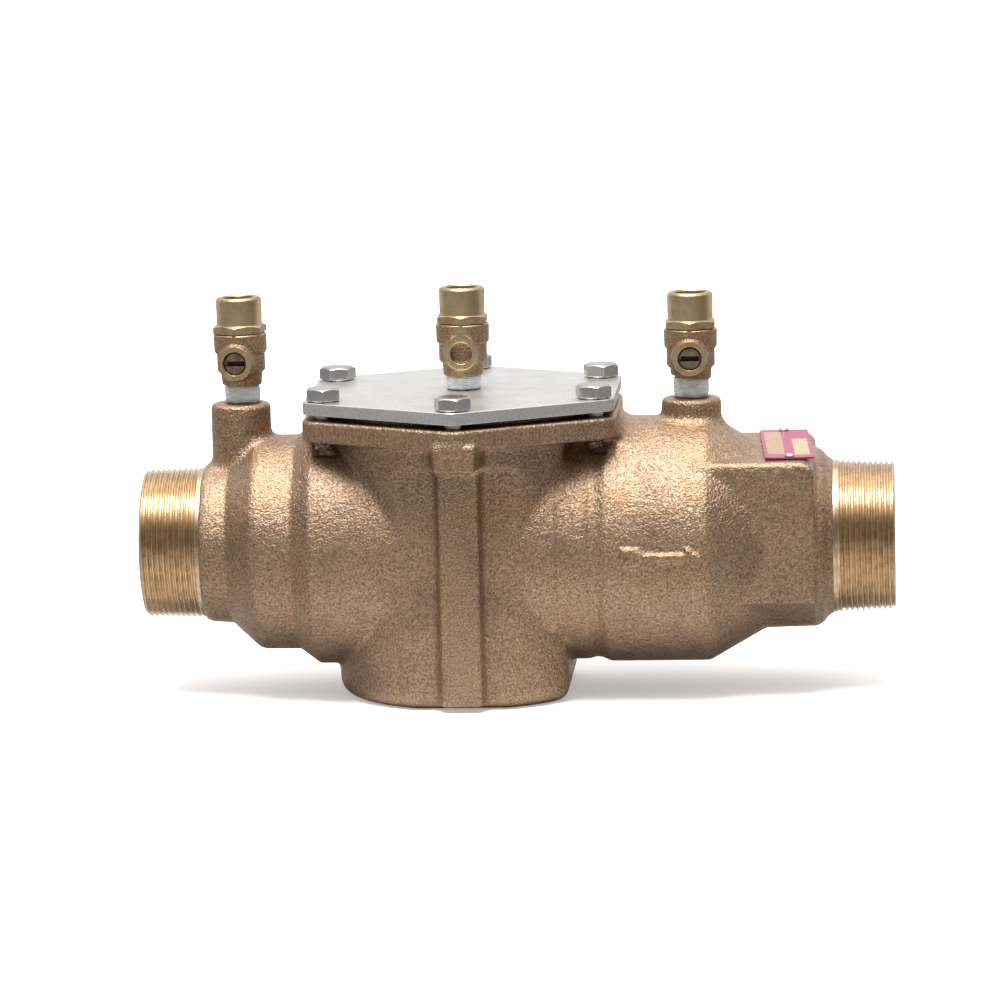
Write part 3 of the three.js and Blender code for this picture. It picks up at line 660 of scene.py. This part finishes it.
def flow_arrow(block):
    tail, notch, head, tip = 42.8, 50, 69, 76
    tail_half, shaft_half, head_half = 3.8, 1.5, 4.2
    outline = [
        (tail, tail_half),
        (notch, tail_half),
        (notch + 3, shaft_half),
        (head, shaft_half),
        (head, head_half),
        (tip, 0),
        (head, -head_half),
        (head, -shaft_half),
        (notch + 3, -shaft_half),
        (notch, -tail_half),
        (tail, -tail_half),
        (tail + 3.5, 0),
    ]
    arrow = block.extruded("y", outline, -60, -40)
    return meet(arrow, block.rod("x", 30, 90, BARREL_RADIUS + 1.9), 0.6)


def cock_boss(block, x, start, foot_radius, foot_top):
    profile = [
        (start, 0),
        (start, foot_radius),
        (foot_top, BOSS_RADIUS),
        (BOSS_TOP - 1.3, BOSS_RADIUS),
        (BOSS_TOP, BOSS_RADIUS - 1.3),
        (BOSS_TOP, 0),
    ]
    return block.turned("z", profile, (x, 0))


def casting_field(block, inlet_x, outlet_x, first_x, second_x):
    barrel = block.turned("x", barrel_profile())
    solid = join(barrel, vertical_body(block), 1.6)
    for side in (-1, 1):
        solid = join(solid, rib_and_boss(block, side), 3.0)
    hexagon = rounded_hexagon(FLANGE_APOTHEM, 9)
    flange = block.extruded("z", hexagon, FLANGE_BOTTOM, FLANGE_TOP)
    fillet = 3.0 + 4.0 * np.clip((block.x - 8) / 20, 0, 1)
    solid = join(solid, flange, fillet)
    solid = join(solid, block.rod("z", FLANGE_TOP - 3, LAND_TOP, LAND_RADIUS, (CENTRE_X, 0)), 0.8)
    solid = join(solid, wrench_section(block), 1.4)
    boss_x = inlet_x - TAPPED_OFF_CENTRE
    solid = join(solid, cock_boss(block, boss_x, 10, BOSS_RADIUS, 20), 4.0)
    solid = join(solid, cock_boss(block, outlet_x, 40, BOSS_RADIUS + 3, 50), 3.5)
    solid = block.softened(solid, 0.5)
    solid = join(solid, flow_arrow(block), 0.7)

    for profile in waterway_profiles(first_x, second_x):
        solid = cut(solid, block.turned("x", profile))
    well = block.rod("z", BASE_Z + 8, LEDGE_Z + 4, WELL_RADIUS, (CENTRE_X, 0))
    room = np.maximum(np.abs(block.y) - 42.5, block.x - 13.8)
    well = meet(well, room + 0 * block.z, 4.0)
    opening = block.rod("z", 39, LAND_TOP + 3, OPENING_RADIUS, (CENTRE_X, 0))
    solid = cut(solid, np.minimum(well, opening))
    groove = [(LAND_TOP - 2.7, 46.1), (LAND_TOP - 2.7, 49.9), (LAND_TOP + 3, 49.9), (LAND_TOP + 3, 46.1)]
    solid = cut(solid, block.turned("z", groove, (CENTRE_X, 0)), 0.3)
    for x, y, _ in bolt_places():
        solid = cut(solid, block.rod("z", 39, LAND_TOP + 3, BOLT_RADIUS + 0.3, (x, y)), 0.3)
    for x in (inlet_x, outlet_x):
        solid = cut(solid, block.rod("z", BOSS_TOP - 10.5, BOSS_TOP + 3, 6.9, (x, 0)), 0.5)
        solid = cut(solid, block.rod("z", 20, BOSS_TOP, 3.2, (x, 0)), 0.5)
    return solid


def thread_object(name, side, crest_start, crest_end, phase):
    """Taper pipe thread on a ring that is open along the bore."""
    columns = 180
    rows_per_turn = 12
    angles = np.arange(columns) / columns
    rows = int(THREAD_LENGTH / THREAD_PITCH * rows_per_turn)
    rings = [(PORT_RADIUS, 0.0), (28.3, 0.0), (28.7, 0.15)]
    for row in range(1, rows + 1):
        along = THREAD_LENGTH * row / rows
        share = along / THREAD_LENGTH
        crest = crest_start + (crest_end - crest_start) * share
        turn = np.mod(along / THREAD_PITCH - angles + phase, 1)
        flank = np.clip(np.abs(2 * turn - 1) * 1.18 - 0.06, 0, 1)
        run_out = np.clip((THREAD_LENGTH - 1.2 - along) / 2.2, 0, 1)
        radius = crest - THREAD_DEPTH * run_out * (1 - flank)
        radius = np.minimum(radius, 28.7 + along * 1.1)
        rings.append((radius, along))
    rings.append((28.5, THREAD_LENGTH + 1.0))
    rings.append((PORT_RADIUS + 0.9, THREAD_LENGTH + 1.0))
    rings.append((PORT_RADIUS, THREAD_LENGTH - 1.0))
    points, faces = stacked(rings, columns, loop=True)
    place = Matrix.Translation((side * END_X, 0, 0)) @ Matrix.Rotation(-side * math.pi / 2, 4, "Y")
    return make_object(name, points, faces, THREAD_BRASS, place=place)


def make_casting(inlet_x, outlet_x, first_x, second_x):
    margin = 3.0
    low = [-END_X + THREAD_LENGTH - margin, CASTING_LOW[1] - margin, BASE_Z - margin]
    high = [END_X - THREAD_LENGTH + margin, CASTING_HIGH[1] + margin, BOSS_TOP + margin]
    block = Block(low, high, CASTING_STEP)
    points, quads = block.surface(casting_field(block, inlet_x, outlet_x, first_x, second_x))
    return thinned(make_object("casting", points, quads, BRONZE), CASTING_TRIANGLES)


def keep(piece, body, slot, *nodes):
    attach(piece, body)
    if nodes:
        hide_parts(*nodes)


INLET_COCK_X = node_middle("inlet_cock_thread_tape")[0]
OUTLET_COCK_X = node_middle("outlet_cock_thread_tape")[0]
FIRST_X = node_box("first_check_seat_ring")[0][0]
SECOND_X = node_box("second_check_seat_ring")[0][0]

keep(make_casting(INLET_COCK_X, OUTLET_COCK_X, FIRST_X, SECOND_X), "valve", "cast_bronze", "body_casting")
keep(thread_object("inlet_thread", -1, 29.95, 30.5, 0.2), "valve", "cast_bronze", "body_casting")
keep(thread_object("outlet_thread", 1, 29.95, 31.0, 0.55), "valve", "cast_bronze", "body_casting")

# ------------------------------------------------------------------ cover and bolts


def hexagon_radius(across_flats, columns, turn=0.0):
    angles = np.arange(columns) * 2 * np.pi / columns + turn
    within = np.mod(angles, np.pi / 3) - np.pi / 6
    return across_flats / 2 / np.cos(within)


def make_cover():
    outline = [(x - CENTRE_X, y) for x, y in rounded_hexagon(COVER_APOTHEM, 6, arc=8)]
    loops = [outline]
    for x, y, _ in bolt_places():
        loops.append(arc_points(x - CENTRE_X, y, BOLT_RADIUS + 0.5, 0, 2 * math.pi, 24)[:-1])
    loops.append(arc_points(0, 0, 6.6, 0, 2 * math.pi, 32)[:-1])
    mesh = bmesh.new()
    for loop in loops:
        corners = [mesh.verts.new((x, y, 0)) for x, y in loop]
        for a, b in zip(corners, corners[1:] + corners[:1]):
            mesh.edges.new((a, b))
    bmesh.ops.triangle_fill(mesh, use_beauty=True, edges=mesh.edges[:])
    bmesh.ops.recalc_face_normals(mesh, faces=mesh.faces[:])
    if mesh.faces[:][0].normal.z < 0:
        bmesh.ops.reverse_faces(mesh, faces=mesh.faces[:])
    top = bmesh.ops.extrude_face_region(mesh, geom=mesh.faces[:])
    raised = [v for v in top["geom"] if isinstance(v, bmesh.types.BMVert)]
    bmesh.ops.translate(mesh, verts=raised, vec=(0, 0, COVER_TOP - COVER_BOTTOM))
    mesh.verts.index_update()
    points = [tuple(v.co) for v in mesh.verts]
    faces = [[v.index for v in f.verts] for f in mesh.faces]
    mesh.free()
    place = Matrix.Translation((CENTRE_X, 0, COVER_BOTTOM))
    obj = make_object("cover", points, faces, COVER_STEEL, smooth=False, place=place)
    fix_normals(obj)
    return bevelled(obj, 0.45)


def fix_normals(obj):
    mesh = bmesh.new()
    mesh.from_mesh(obj.data)
    bmesh.ops.recalc_face_normals(mesh, faces=mesh.faces[:])
    mesh.to_mesh(obj.data)
    mesh.free()


def make_bolt(number, x, y, turn):
    columns, across, head = 96, 13.0, 5.3
    flats = hexagon_radius(across, columns)
    crown = across / 2 - 0.5
    slope = math.tan(math.radians(30))
    shoulder = head - (flats - crown) * slope
    length, pitch = 20.0, 1.25
    rings = [(2.9, -length), (3.4, -length + 0.5)]
    turns = np.arange(columns) / columns
    rows = 80
    threaded = 12.0
    for row in range(rows + 1):
        along = -length + 0.5 + threaded * row / rows
        wave = np.abs(2 * np.mod(along / pitch - turns, 1) - 1)
        fade = min(1.0, (rows - row) / 6)
        rings.append((BOLT_RADIUS - 0.62 * fade * (1 - wave), along + 0.02))
    rings += [
        (BOLT_RADIUS, -0.05),
        (across / 2 - 0.25, 0.0),
        (across / 2 - 0.15, 0.35),
        (flats - 0.1, 0.45),
        (flats, 0.62),
        (flats, shoulder - 0.12),
        (flats - 0.06, shoulder - 0.02),
        (flats - 0.25, shoulder + 0.25 * slope),
        (crown, head),
        (crown - 0.25, head + 0.03),
        (crown * 0.5, head + 0.03),
    ]
    points, faces = stacked(rings, columns)
    place = Matrix.Translation((x, y, COVER_TOP + 0.2)) @ Matrix.Rotation(turn, 4, "Z")
    obj = make_object(f"bolt_{number}", points, faces, BOLT_STEEL, place=place)
    mark_sharp(obj, 28)
    return obj


def mark_sharp(obj, angle):
    """Splits the shading at hard edges."""
    mesh = bmesh.new()
    mesh.from_mesh(obj.data)
    limit = math.radians(angle)
    for edge in mesh.edges:
        edge.smooth = edge.calc_face_angle(0.0) < limit
    mesh.to_mesh(obj.data)
    mesh.free()


keep(make_cover(), "valve", "stainless_cover", "cover_plate")
for number, (x, y, angle) in enumerate(bolt_places(), start=1):
    keep(make_bolt(number, x, y, angle), "valve", "stainless_bolt", f"cover_bolt_{number}")

# ------------------------------------------------------------------ test cocks

STEM_Z = 10.1
NIPPLE_RADIUS = 6.3
COCK_TOP = 21.2
HEX_TOP = 24.9
TUBE_TOP = 36.0
FACE_Y = -12.0
BACK_Y = 11.0
RECESS_DEPTH = 2.5
STEM_FACE = 11.6
SLOT_DEPTH = 2.0


def cock_surface(nipple, trim, trim_slope):
    block = Block([-12.5, -14, -nipple - 1.5], [12.5, 13, COCK_TOP + 1.5], COCK_STEP)
    outside = block.turned(
        "z",
        [
            (-nipple, 0),
            (-nipple, NIPPLE_RADIUS),
            (0, NIPPLE_RADIUS),
            (0, 8.0),
            (5.0, 8.4),
            (6.2, 9.75),
            (13.0, 9.75),
            (14.0, 10.7),
            (COCK_TOP, 10.8),
            (COCK_TOP, 0),
        ],
    )
    front, back = FACE_Y - 1, BACK_Y + 1
    stem_boss = block.turned("y", [(0, 0), (0, 8.2), (front, 7.0), (front, 0)], (0, STEM_Z))
    blank_boss = block.turned("y", [(0, 0), (0, 8.0), (back, 6.9), (back, 0)], (0, STEM_Z))
    solid = join(outside, stem_boss, 1.2)
    solid = join(solid, blank_boss, 1.2)
    solid = block.softened(solid, 0.25)
    foot = trim + trim_slope * block.x - block.z + 0 * block.y
    solid = np.minimum(meet(solid, foot, 0.5), block.rod("z", -nipple, 5, NIPPLE_RADIUS))
    solid = meet(solid, FACE_Y - block.y + 0 * solid, 0.25)
    solid = meet(solid, block.y - BACK_Y + 0 * solid, 0.25)
    floor_y = BACK_Y - RECESS_DEPTH
    recess = block.turned("y", [(floor_y, 0), (floor_y, 4.2), (12.5, 4.4), (12.5, 0)], (0, STEM_Z))
    solid = cut(solid, recess, 0.25)
    bore = [(-nipple - 2, 0), (-nipple - 2, 3), (3.5, 3), (3.5, 5.6), (16.6, 5.6), (16.6, 7.2)]
    bore += [(COCK_TOP + 2, 7.2), (COCK_TOP + 2, 0)]
    solid = cut(solid, block.turned("z", bore), 0.3)
    stem_hole = [(0, 0), (0, 3.3), (-9.4, 3.3), (-9.4, 4.7), (-14, 4.7), (-14, 0)]
    solid = cut(solid, block.turned("y", stem_hole, (0, STEM_Z)), 0.3)
    return block.surface(solid)


def adapter_rings(columns):
    flats = hexagon_radius(19.6, columns, turn=math.pi / 2)
    slope = math.tan(math.radians(28))
    crown = 9.5
    bottom, top = COCK_TOP + 0.15, HEX_TOP
    return [
        (3.2, 16.8),
        (6.6, 16.8),
        (6.9, 17.1),
        (6.9, bottom),
        (8.9, bottom),
        (flats - 0.35, bottom + 0.05),
        (flats, bottom + 0.35),
        (flats, top - 0.1 - (flats - crown) * slope),
        (flats - 0.12, top - (flats - 0.15 - crown) * slope),
        (crown, top),
        (9.3, top + 0.03),
        (9.2, top + 0.2),
        (9.25, TUBE_TOP - 1.0),
        (9.15, TUBE_TOP - 0.8),
        (8.5, TUBE_TOP - 0.06),
        (8.3, TUBE_TOP),
        (6.95, TUBE_TOP),
        (6.7, TUBE_TOP - 0.1),
        (6.4, TUBE_TOP - 0.5),
        (6.4, 27.2),
        (3.2, 26.0),
    ]


def outward_place(place):
    """Turns a body built along +Z so that it faces out of the stem's boss."""
    return place @ Matrix.Translation((0, 0, STEM_Z)) @ Matrix.Rotation(math.pi / 2, 4, "X")


def stem_piece(name, place):
    """Slotted stem with its seal groove."""
    profile = [
        (3, 5.5),
        (3, 6.7),
        (2.2, 6.7),
        (2.2, 8.3),
        (3, 8.3),
        (3, 9.7),
        (4.3, 9.7),
        (4.3, STEM_FACE - 0.25),
        (4.05, STEM_FACE),
    ]
    outward = outward_place(place)
    points, faces = stacked(profile, 48)
    obj = make_object(name, points, faces, STEM_BRASS, smooth=False, place=outward)
    slot_floor = STEM_FACE - SLOT_DEPTH
    cutter = box_object("slot_cutter", (-6, -1.0, slot_floor), (6, 1.0, 13), outward)
    boolean(obj, cutter, "DIFFERENCE")
    tang = box_object("tang_maker", (-2.2, -1.0, 4.0), (2.2, 1.0, 5.9), outward)
    boolean(obj, tang, "UNION")
    bevelled(obj, 0.12, angle=35)
    # The slot's faces get the painted shade.
    recoloured_faces(obj, outward, lambda p, n: abs(p.y) < 1.05 and p.z > slot_floor - 0.2, SLOT_PAINTED_SHADE)
    return obj


def box_object(name, low, high, place):
    corners = [(x, y, z) for z in (low[2], high[2]) for y in (low[1], high[1]) for x in (low[0], high[0])]
    faces = [[0, 2, 3, 1], [4, 5, 7, 6], [0, 1, 5, 4], [2, 6, 7, 3], [0, 4, 6, 2], [1, 3, 7, 5]]
    return make_object(name, corners, faces, STEM_BRASS, smooth=False, place=place)


def boolean(obj, tool, operation):
    modifier = obj.modifiers.new("boolean", "BOOLEAN")
    modifier.operation = operation
    modifier.object = tool
    modifier.solver = "EXACT"
    apply_modifiers(obj)
    bpy.data.objects.remove(tool)


def tape_rings(exposed, trim, columns, seed):
    """Wraps of tape: ridges climb slowly round the nipple and the edges are uneven."""
    random = np.random.default_rng(seed)
    angles = np.arange(columns) * 2 * np.pi / columns
    turns = angles / (2 * np.pi)

    def wander(count, size):
        waves = random.normal(0, size, count)
        phases = random.uniform(0, 2 * np.pi, count)
        return sum(w * np.cos((k + 1) * angles + p) for k, (w, p) in enumerate(zip(waves, phases)))

    low = -exposed + 0.35 + np.abs(wander(5, 0.12))
    high = trim + 0.2 - np.abs(wander(5, 0.12))
    rows = 26
    rings = [(NIPPLE_RADIUS + 0.3, low)]
    for row in range(rows + 1):
        share = row / rows
        height = low + (high - low) * share
        wrap = np.mod(share * 3.2 + turns, 1)
        ridge = 0.22 * np.minimum(wrap / 0.25, 1) * (1 - wrap * 0.5)
        edge = min(1.0, 6 * share, 6 * (1 - share))
        radius = NIPPLE_RADIUS + 0.45 + 0.3 * edge + ridge * edge + wander(9, 0.03)
        rings.append((radius, height))
    rings.append((NIPPLE_RADIUS + 0.3, high))
    return rings


def torus_rings(radius, section, centre_height):
    steps = 14
    angles = [2 * math.pi * k / steps for k in range(steps)]
    return [
        (radius + section * math.cos(-a), centre_height + section * math.sin(a)) for a in angles
    ]


def ball_piece(name, place):
    rings = []
    radius, bore, steps = 5.2, 2.6, 40
    edge = math.acos(bore / radius)
    for k in range(steps + 1):
        a = -edge + 2 * edge * k / steps
        rings.append((radius * math.cos(a), radius * math.sin(a)))
    end = radius * math.sin(edge)
    rings += [(bore, end - 0.2), (bore, -end + 0.2)]
    points, faces = stacked(rings, 64, loop=True)
    lying = place @ Matrix.Translation((0, 0, STEM_Z)) @ Matrix.Rotation(math.pi / 2, 4, "Y")
    obj = make_object(name, points, faces, BALL_CHROME, place=lying)
    cutter = box_object("ball_slot", (-6, -1.3, 3.7), (6, 1.3, 6), outward_place(place))
    boolean(obj, cutter, "DIFFERENCE")
    mark_sharp(obj, 30)
    return obj


def seat_profile(side):
    clear = 5.5
    radii = [4.9, 4.5, 4.0, 3.5, 3.0]
    hollow = [(r, side * math.sqrt(clear * clear - r * r)) for r in radii]
    return [(3.0, side * 6.3), (4.9, side * 6.3)] + hollow


def recoloured_faces(obj, place, is_picked, material):
    """Gives the picked faces a second material: the look of cut metal where a tool has cut them, or the
    painted shade in the stem's slot.
    """
    back = place.inverted()
    obj.data.materials.append(material)
    for polygon in obj.data.polygons:
        centre = Vector(polygon.center) / MM - Vector((0, 0, AXIS_HEIGHT))
        if is_picked(back @ centre, back.to_3x3() @ polygon.normal):
            polygon.material_index = 1


def cock_face_is_cut(point, normal):
    ring = abs(normal.y) > 0.8 and (point.y < FACE_Y + 0.5 or point.y > BACK_Y - 0.5)
    return ring or point.z > COCK_TOP - 0.3


def make_cock(label, x, foot, exposed, engaged, turn, lean, trim, trim_slope, seed):
    place = Matrix.Translation((x, 0, foot)) @ Euler(
        (0, math.radians(lean), math.radians(turn)), "XZY"
    ).to_matrix().to_4x4()
    body = f"{label}_cock_body"
    points, quads = cock_surface(exposed + engaged, trim, trim_slope)
    cast = make_object(f"{label}_cock_casting", points, quads, COCK_BRONZE, place=place)
    thinned(cast, COCK_TRIANGLES)
    recoloured_faces(cast, place, cock_face_is_cut, RING_BRASS)
    keep(cast, "valve", "cock_bronze", body)

    columns = 144
    rings, faces = stacked(adapter_rings(columns), columns, loop=True)
    adapter = make_object(f"{label}_hose_adapter", rings, faces, BRASS, place=place)
    mark_sharp(adapter, 32)
    keep(adapter, "valve", "machined_brass", f"{label}_cock_adapter")

    rings, faces = stacked(tape_rings(exposed, trim, 120, seed), 120, loop=True)
    tape = make_object(f"{label}_tape", rings, faces, TAPE, place=place)
    keep(tape, "valve", "thread_tape", f"{label}_cock_thread_tape")

    plug = f"{label}_cock_plug"
    keep(stem_piece(f"{label}_stem", place), plug, "machined_brass", f"{label}_cock_stem")
    keep(ball_piece(f"{label}_ball", place), plug, "chromed_ball", f"{label}_cock_ball")
    rings = torus_rings(2.72, 0.42, 7.5)
    seal = turned_object(f"{label}_stem_seal", rings, RUBBER, outward_place(place), 40, loop=True)
    keep(seal, plug, "rubber", f"{label}_cock_stem_o_ring")
    middle = place @ Matrix.Translation((0, 0, STEM_Z))
    for word, side in (("lower", -1), ("upper", 1)):
        seat = turned_object(
            f"{label}_{word}_ball_seat", seat_profile(side), SEAL_PLASTIC, middle, 64, loop=True
        )
        fix_normals(seat)
        mark_sharp(seat, 30)
        keep(seat, "valve", "seal_plastic", f"{label}_cock_{word}_seat")


make_cock("inlet", INLET_COCK_X, BOSS_TOP + 7.1, 7.1, 8.5, -7, -1, 0.2, -0.05, seed=3)
make_cock("middle", CENTRE_X, COVER_TOP + 5.7, 5.7, 6, 180, 0, 0, 0, seed=5)
make_cock("outlet", OUTLET_COCK_X, BOSS_TOP + 6.8, 6.8, 8.5, 0, 0, 1.5, -0.12, seed=8)

# ------------------------------------------------------------------ nameplate


def make_nameplate():
    width, depth, thickness = 19.6, 62.0, 0.7
    seat = Matrix.Translation((109, 0, WRENCH_MEAN_TOP + 0.2)) @ Euler(
        (WRENCH_SLOPE, 0, math.radians(3.2)), "XYZ"
    ).to_matrix().to_4x4()
    columns, rows = 12, 36
    points = []
    for z in (0, thickness):
        for row in range(rows + 1):
            for column in range(columns + 1):
                u, v = column / columns, row / rows
                curl = 0.18 * (2 * u - 1) ** 2 * (1 - v) ** 2
                points.append(((u - 0.5) * width, (v - 0.5) * depth, z + curl))
    across = columns + 1
    layer = across * (rows + 1)
    faces = []
    for row in range(rows):
        for column in range(columns):
            a = row * across + column
            quad = [a, a + 1, a + 1 + across, a + across]
            faces.append([q + layer for q in quad])
            faces.append(quad[::-1])
    rim = [(0, c) for c in range(columns)] + [(r, columns) for r in range(rows)]
    rim += [(rows, c) for c in range(columns, 0, -1)] + [(r, 0) for r in range(rows, 0, -1)]
    marks = [r * across + c for r, c in rim]
    for a, b in zip(marks, marks[1:] + marks[:1]):
        faces.append([a, b, b + layer, a + layer])
    obj = make_object("rating_plate", points, faces, NAMEPLATE, smooth=False, place=seat)
    layer_uv = obj.data.uv_layers.new(name="plate")
    for loop in obj.data.loops:
        point = points[loop.vertex_index]
        layer_uv.data[loop.index].uv = (point[0] / width + 0.5, point[1] / depth + 0.5)
    keep(obj, "valve", "nameplate", "nameplate")
    head, brim = 2.1, thickness + 0.35
    for word, y in (("front", -28.8), ("back", 28.8)):
        dome = [(1.0, 0.1), (1.0, thickness + 0.1), (head, thickness + 0.12), (head, brim)]
        for angle in (0.3, 0.6, 0.9, 1.2, 1.45):
            dome.append((head * math.cos(angle), brim + 1.05 * math.sin(angle)))
        rivet = turned_object(
            f"rivet_{word}", dome, RIVET_METAL, seat @ Matrix.Translation((0, y, 0)), 32
        )
        mark_sharp(rivet, 40)
        keep(rivet, "valve", "rivet", f"nameplate_rivet_{word}")


make_nameplate()

# ------------------------------------------------------------------ carried-over inner pieces

INNER_LOOKS = {
    "seat_ring": CHECK_PLASTIC,
    "cage": CHECK_PLASTIC,
    "disc_holder": CHECK_PLASTIC,
    "seat_o_ring": RUBBER,
    "rubber_disc": RUBBER,
    "disc_retainer": BOLT_STEEL,
    "disc_screw": BOLT_STEEL,
    "spring": SPRING_STEEL,
}


def give_look(node, material):
    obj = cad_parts[node]
    obj.data.materials.clear()
    obj.data.materials.append(material)


for module in ("first", "second"):
    for part, material in INNER_LOOKS.items():
        give_look(f"{module}_check_{part}", material)
give_look("cover_o_ring", RUBBER)
give_look("module_spacer", CHECK_PLASTIC)

# ------------------------------------------------------------------ floor, light and camera

CEILING_DARK = 0.2
CEILING_BRIGHT = 2.1
BACKDROP = 1.0
SIDE_BRIGHT = 0.4
FLOOR_FELT = 0.2  # how pale the floor is to everything but the camera
# A painted pool of light on the floor, seen only in what the metal mirrors.
FLOOR_PAINTED_LIGHT = 0.55  # how much paler it is under the object
PAINTED_LIGHT_RADIUS = 0.34  # metres


def make_floor():
    """White to the camera, and dimmer to what the metal mirrors, as in a dark studio, but for a painted
    pool of light under the object.
    """
    mesh = bpy.data.meshes.new("floor")
    half = 8.0
    mesh.from_pydata(
        [(-half, -half, 0), (half, -half, 0), (half, half, 0), (-half, half, 0)], [], [[0, 1, 2, 3]]
    )
    floor = bpy.data.objects.new("floor", mesh)
    bpy.context.scene.collection.objects.link(floor)
    look = Look("floor", metallic=0.0, specular=0.0)
    tone = look.ramp(look.noise(400, detail=2), [(0.3, 0.86), (0.7, 0.9)])
    look.finish(tone, 0.9)
    look.shader.inputs["Emission Color"].default_value = (1, 1, 1, 1)
    look.shader.inputs["Emission Strength"].default_value = 0.35
    tree = look.tree
    dim = tree.nodes.new("ShaderNodeBsdfDiffuse")
    # Painted pool of light: to everything but the camera the floor is paler under the object.
    painted_light_pool = look.node("ShaderNodeTexGradient", Vector=look.scaled_place((1 / PAINTED_LIGHT_RADIUS,) * 3))
    painted_light_pool.gradient_type = "QUADRATIC_SPHERE"
    felt = look.ramp(painted_light_pool.outputs["Fac"], [(0.0, FLOOR_FELT), (0.7, FLOOR_FELT + FLOOR_PAINTED_LIGHT)])
    tree.links.new(felt, dim.inputs["Color"])
    path = tree.nodes.new("ShaderNodeLightPath")
    mix = tree.nodes.new("ShaderNodeMixShader")
    tree.links.new(path.outputs["Is Camera Ray"], mix.inputs[0])
    tree.links.new(dim.outputs[0], mix.inputs[1])
    tree.links.new(look.shader.outputs[0], mix.inputs[2])
    tree.links.new(mix.outputs[0], tree.nodes["Material Output"].inputs["Surface"])
    floor.data.materials.append(look.material)


def sun_light(name, azimuth, elevation, spread, strength):
    """A round softbox far away, seen from the object at these angles in degrees."""
    light = bpy.data.lights.new(name, "SUN")
    light.energy = strength
    light.angle = math.radians(spread)
    obj = bpy.data.objects.new(name, light)
    turn, rise = math.radians(azimuth), math.radians(elevation)
    toward = Vector((math.sin(turn) * math.cos(rise), -math.cos(turn) * math.cos(rise), math.sin(rise)))
    obj.rotation_euler = toward.to_track_quat("Z", "Y").to_euler()
    obj.location = toward * 2
    bpy.context.scene.collection.objects.link(obj)


def make_world():
    """A bright ceiling and backdrop, and a dimmer room behind the viewer."""
    world = bpy.data.worlds.new("studio")
    bpy.context.scene.world = world
    world.use_nodes = True
    tree = world.node_tree
    nodes, links = tree.nodes, tree.links
    nodes.clear()
    split = nodes.new("ShaderNodeSeparateXYZ")
    links.new(nodes.new("ShaderNodeTexCoord").outputs["Generated"], split.inputs[0])

    def rising(axis, start, end, low, high):
        made = nodes.new("ShaderNodeMapRange")
        made.interpolation_type = "SMOOTHSTEP"
        for name, value in zip(("From Min", "From Max", "To Min", "To Max"), (start, end, low, high)):
            made.inputs[name].default_value = value
        links.new(split.outputs[axis], made.inputs["Value"])
        return made.outputs[0]

    def combined(operation, a, b):
        made = nodes.new("ShaderNodeMath")
        made.operation = operation
        links.new(a, made.inputs[0])
        links.new(b, made.inputs[1])
        return made.outputs[0]

    ceiling = rising("Z", 0.52, 0.95, CEILING_DARK, CEILING_BRIGHT)
    backdrop = rising("Y", -0.1, 0.6, 0.0, BACKDROP)
    sides = rising("X", -0.9, 0.2, SIDE_BRIGHT, 0.0)
    strength = combined("MAXIMUM", ceiling, combined("MAXIMUM", backdrop, sides))
    felt = nodes.new("ShaderNodeBackground")
    felt.inputs["Color"].default_value = (1, 0.995, 0.985, 1)
    links.new(strength, felt.inputs["Strength"])
    seen = nodes.new("ShaderNodeBackground")
    seen.inputs["Color"].default_value = (1, 1, 1, 1)
    path = nodes.new("ShaderNodeLightPath")
    mix = nodes.new("ShaderNodeMixShader")
    out = nodes.new("ShaderNodeOutputWorld")
    links.new(path.outputs["Is Camera Ray"], mix.inputs[0])
    links.new(felt.outputs[0], mix.inputs[1])
    links.new(seen.outputs[0], mix.inputs[2])
    links.new(mix.outputs[0], out.inputs["Surface"])


def make_camera():
    azimuth, elevation, roll = (math.radians(v) for v in (3.785, 9.42, -1.228))
    distance, lens = 2.3, 203.5
    back = Vector(
        (
            math.sin(azimuth) * math.cos(elevation),
            -math.cos(azimuth) * math.cos(elevation),
            math.sin(elevation),
        )
    )
    right = Vector((math.cos(azimuth), math.sin(azimuth), 0))
    up = back.cross(right)
    tilted_right = right * math.cos(roll) + up * math.sin(roll)
    tilted_up = up * math.cos(roll) - right * math.sin(roll)
    axis = Vector((0, 0, AXIS_HEIGHT * MM))
    place = axis + back * distance
    target = axis - tilted_right * 0.00803 + tilted_up * 0.0158
    look = (place - target).normalized()
    side = tilted_up.cross(look).normalized()
    above = look.cross(side)
    camera = bpy.data.cameras.new("camera")
    camera.lens = lens
    camera.sensor_width = 36
    camera.clip_end = 50
    obj = bpy.data.objects.new("camera", camera)
    turn = Matrix((side, above, look)).transposed()
    obj.matrix_world = Matrix.Translation(place) @ turn.to_4x4()
    bpy.context.scene.collection.objects.link(obj)
    bpy.context.scene.camera = obj


make_floor()
sun_light("key", -15, 74, 28, 4.0)
make_world()
make_camera()
bpy.context.scene.view_settings.view_transform = "Standard"
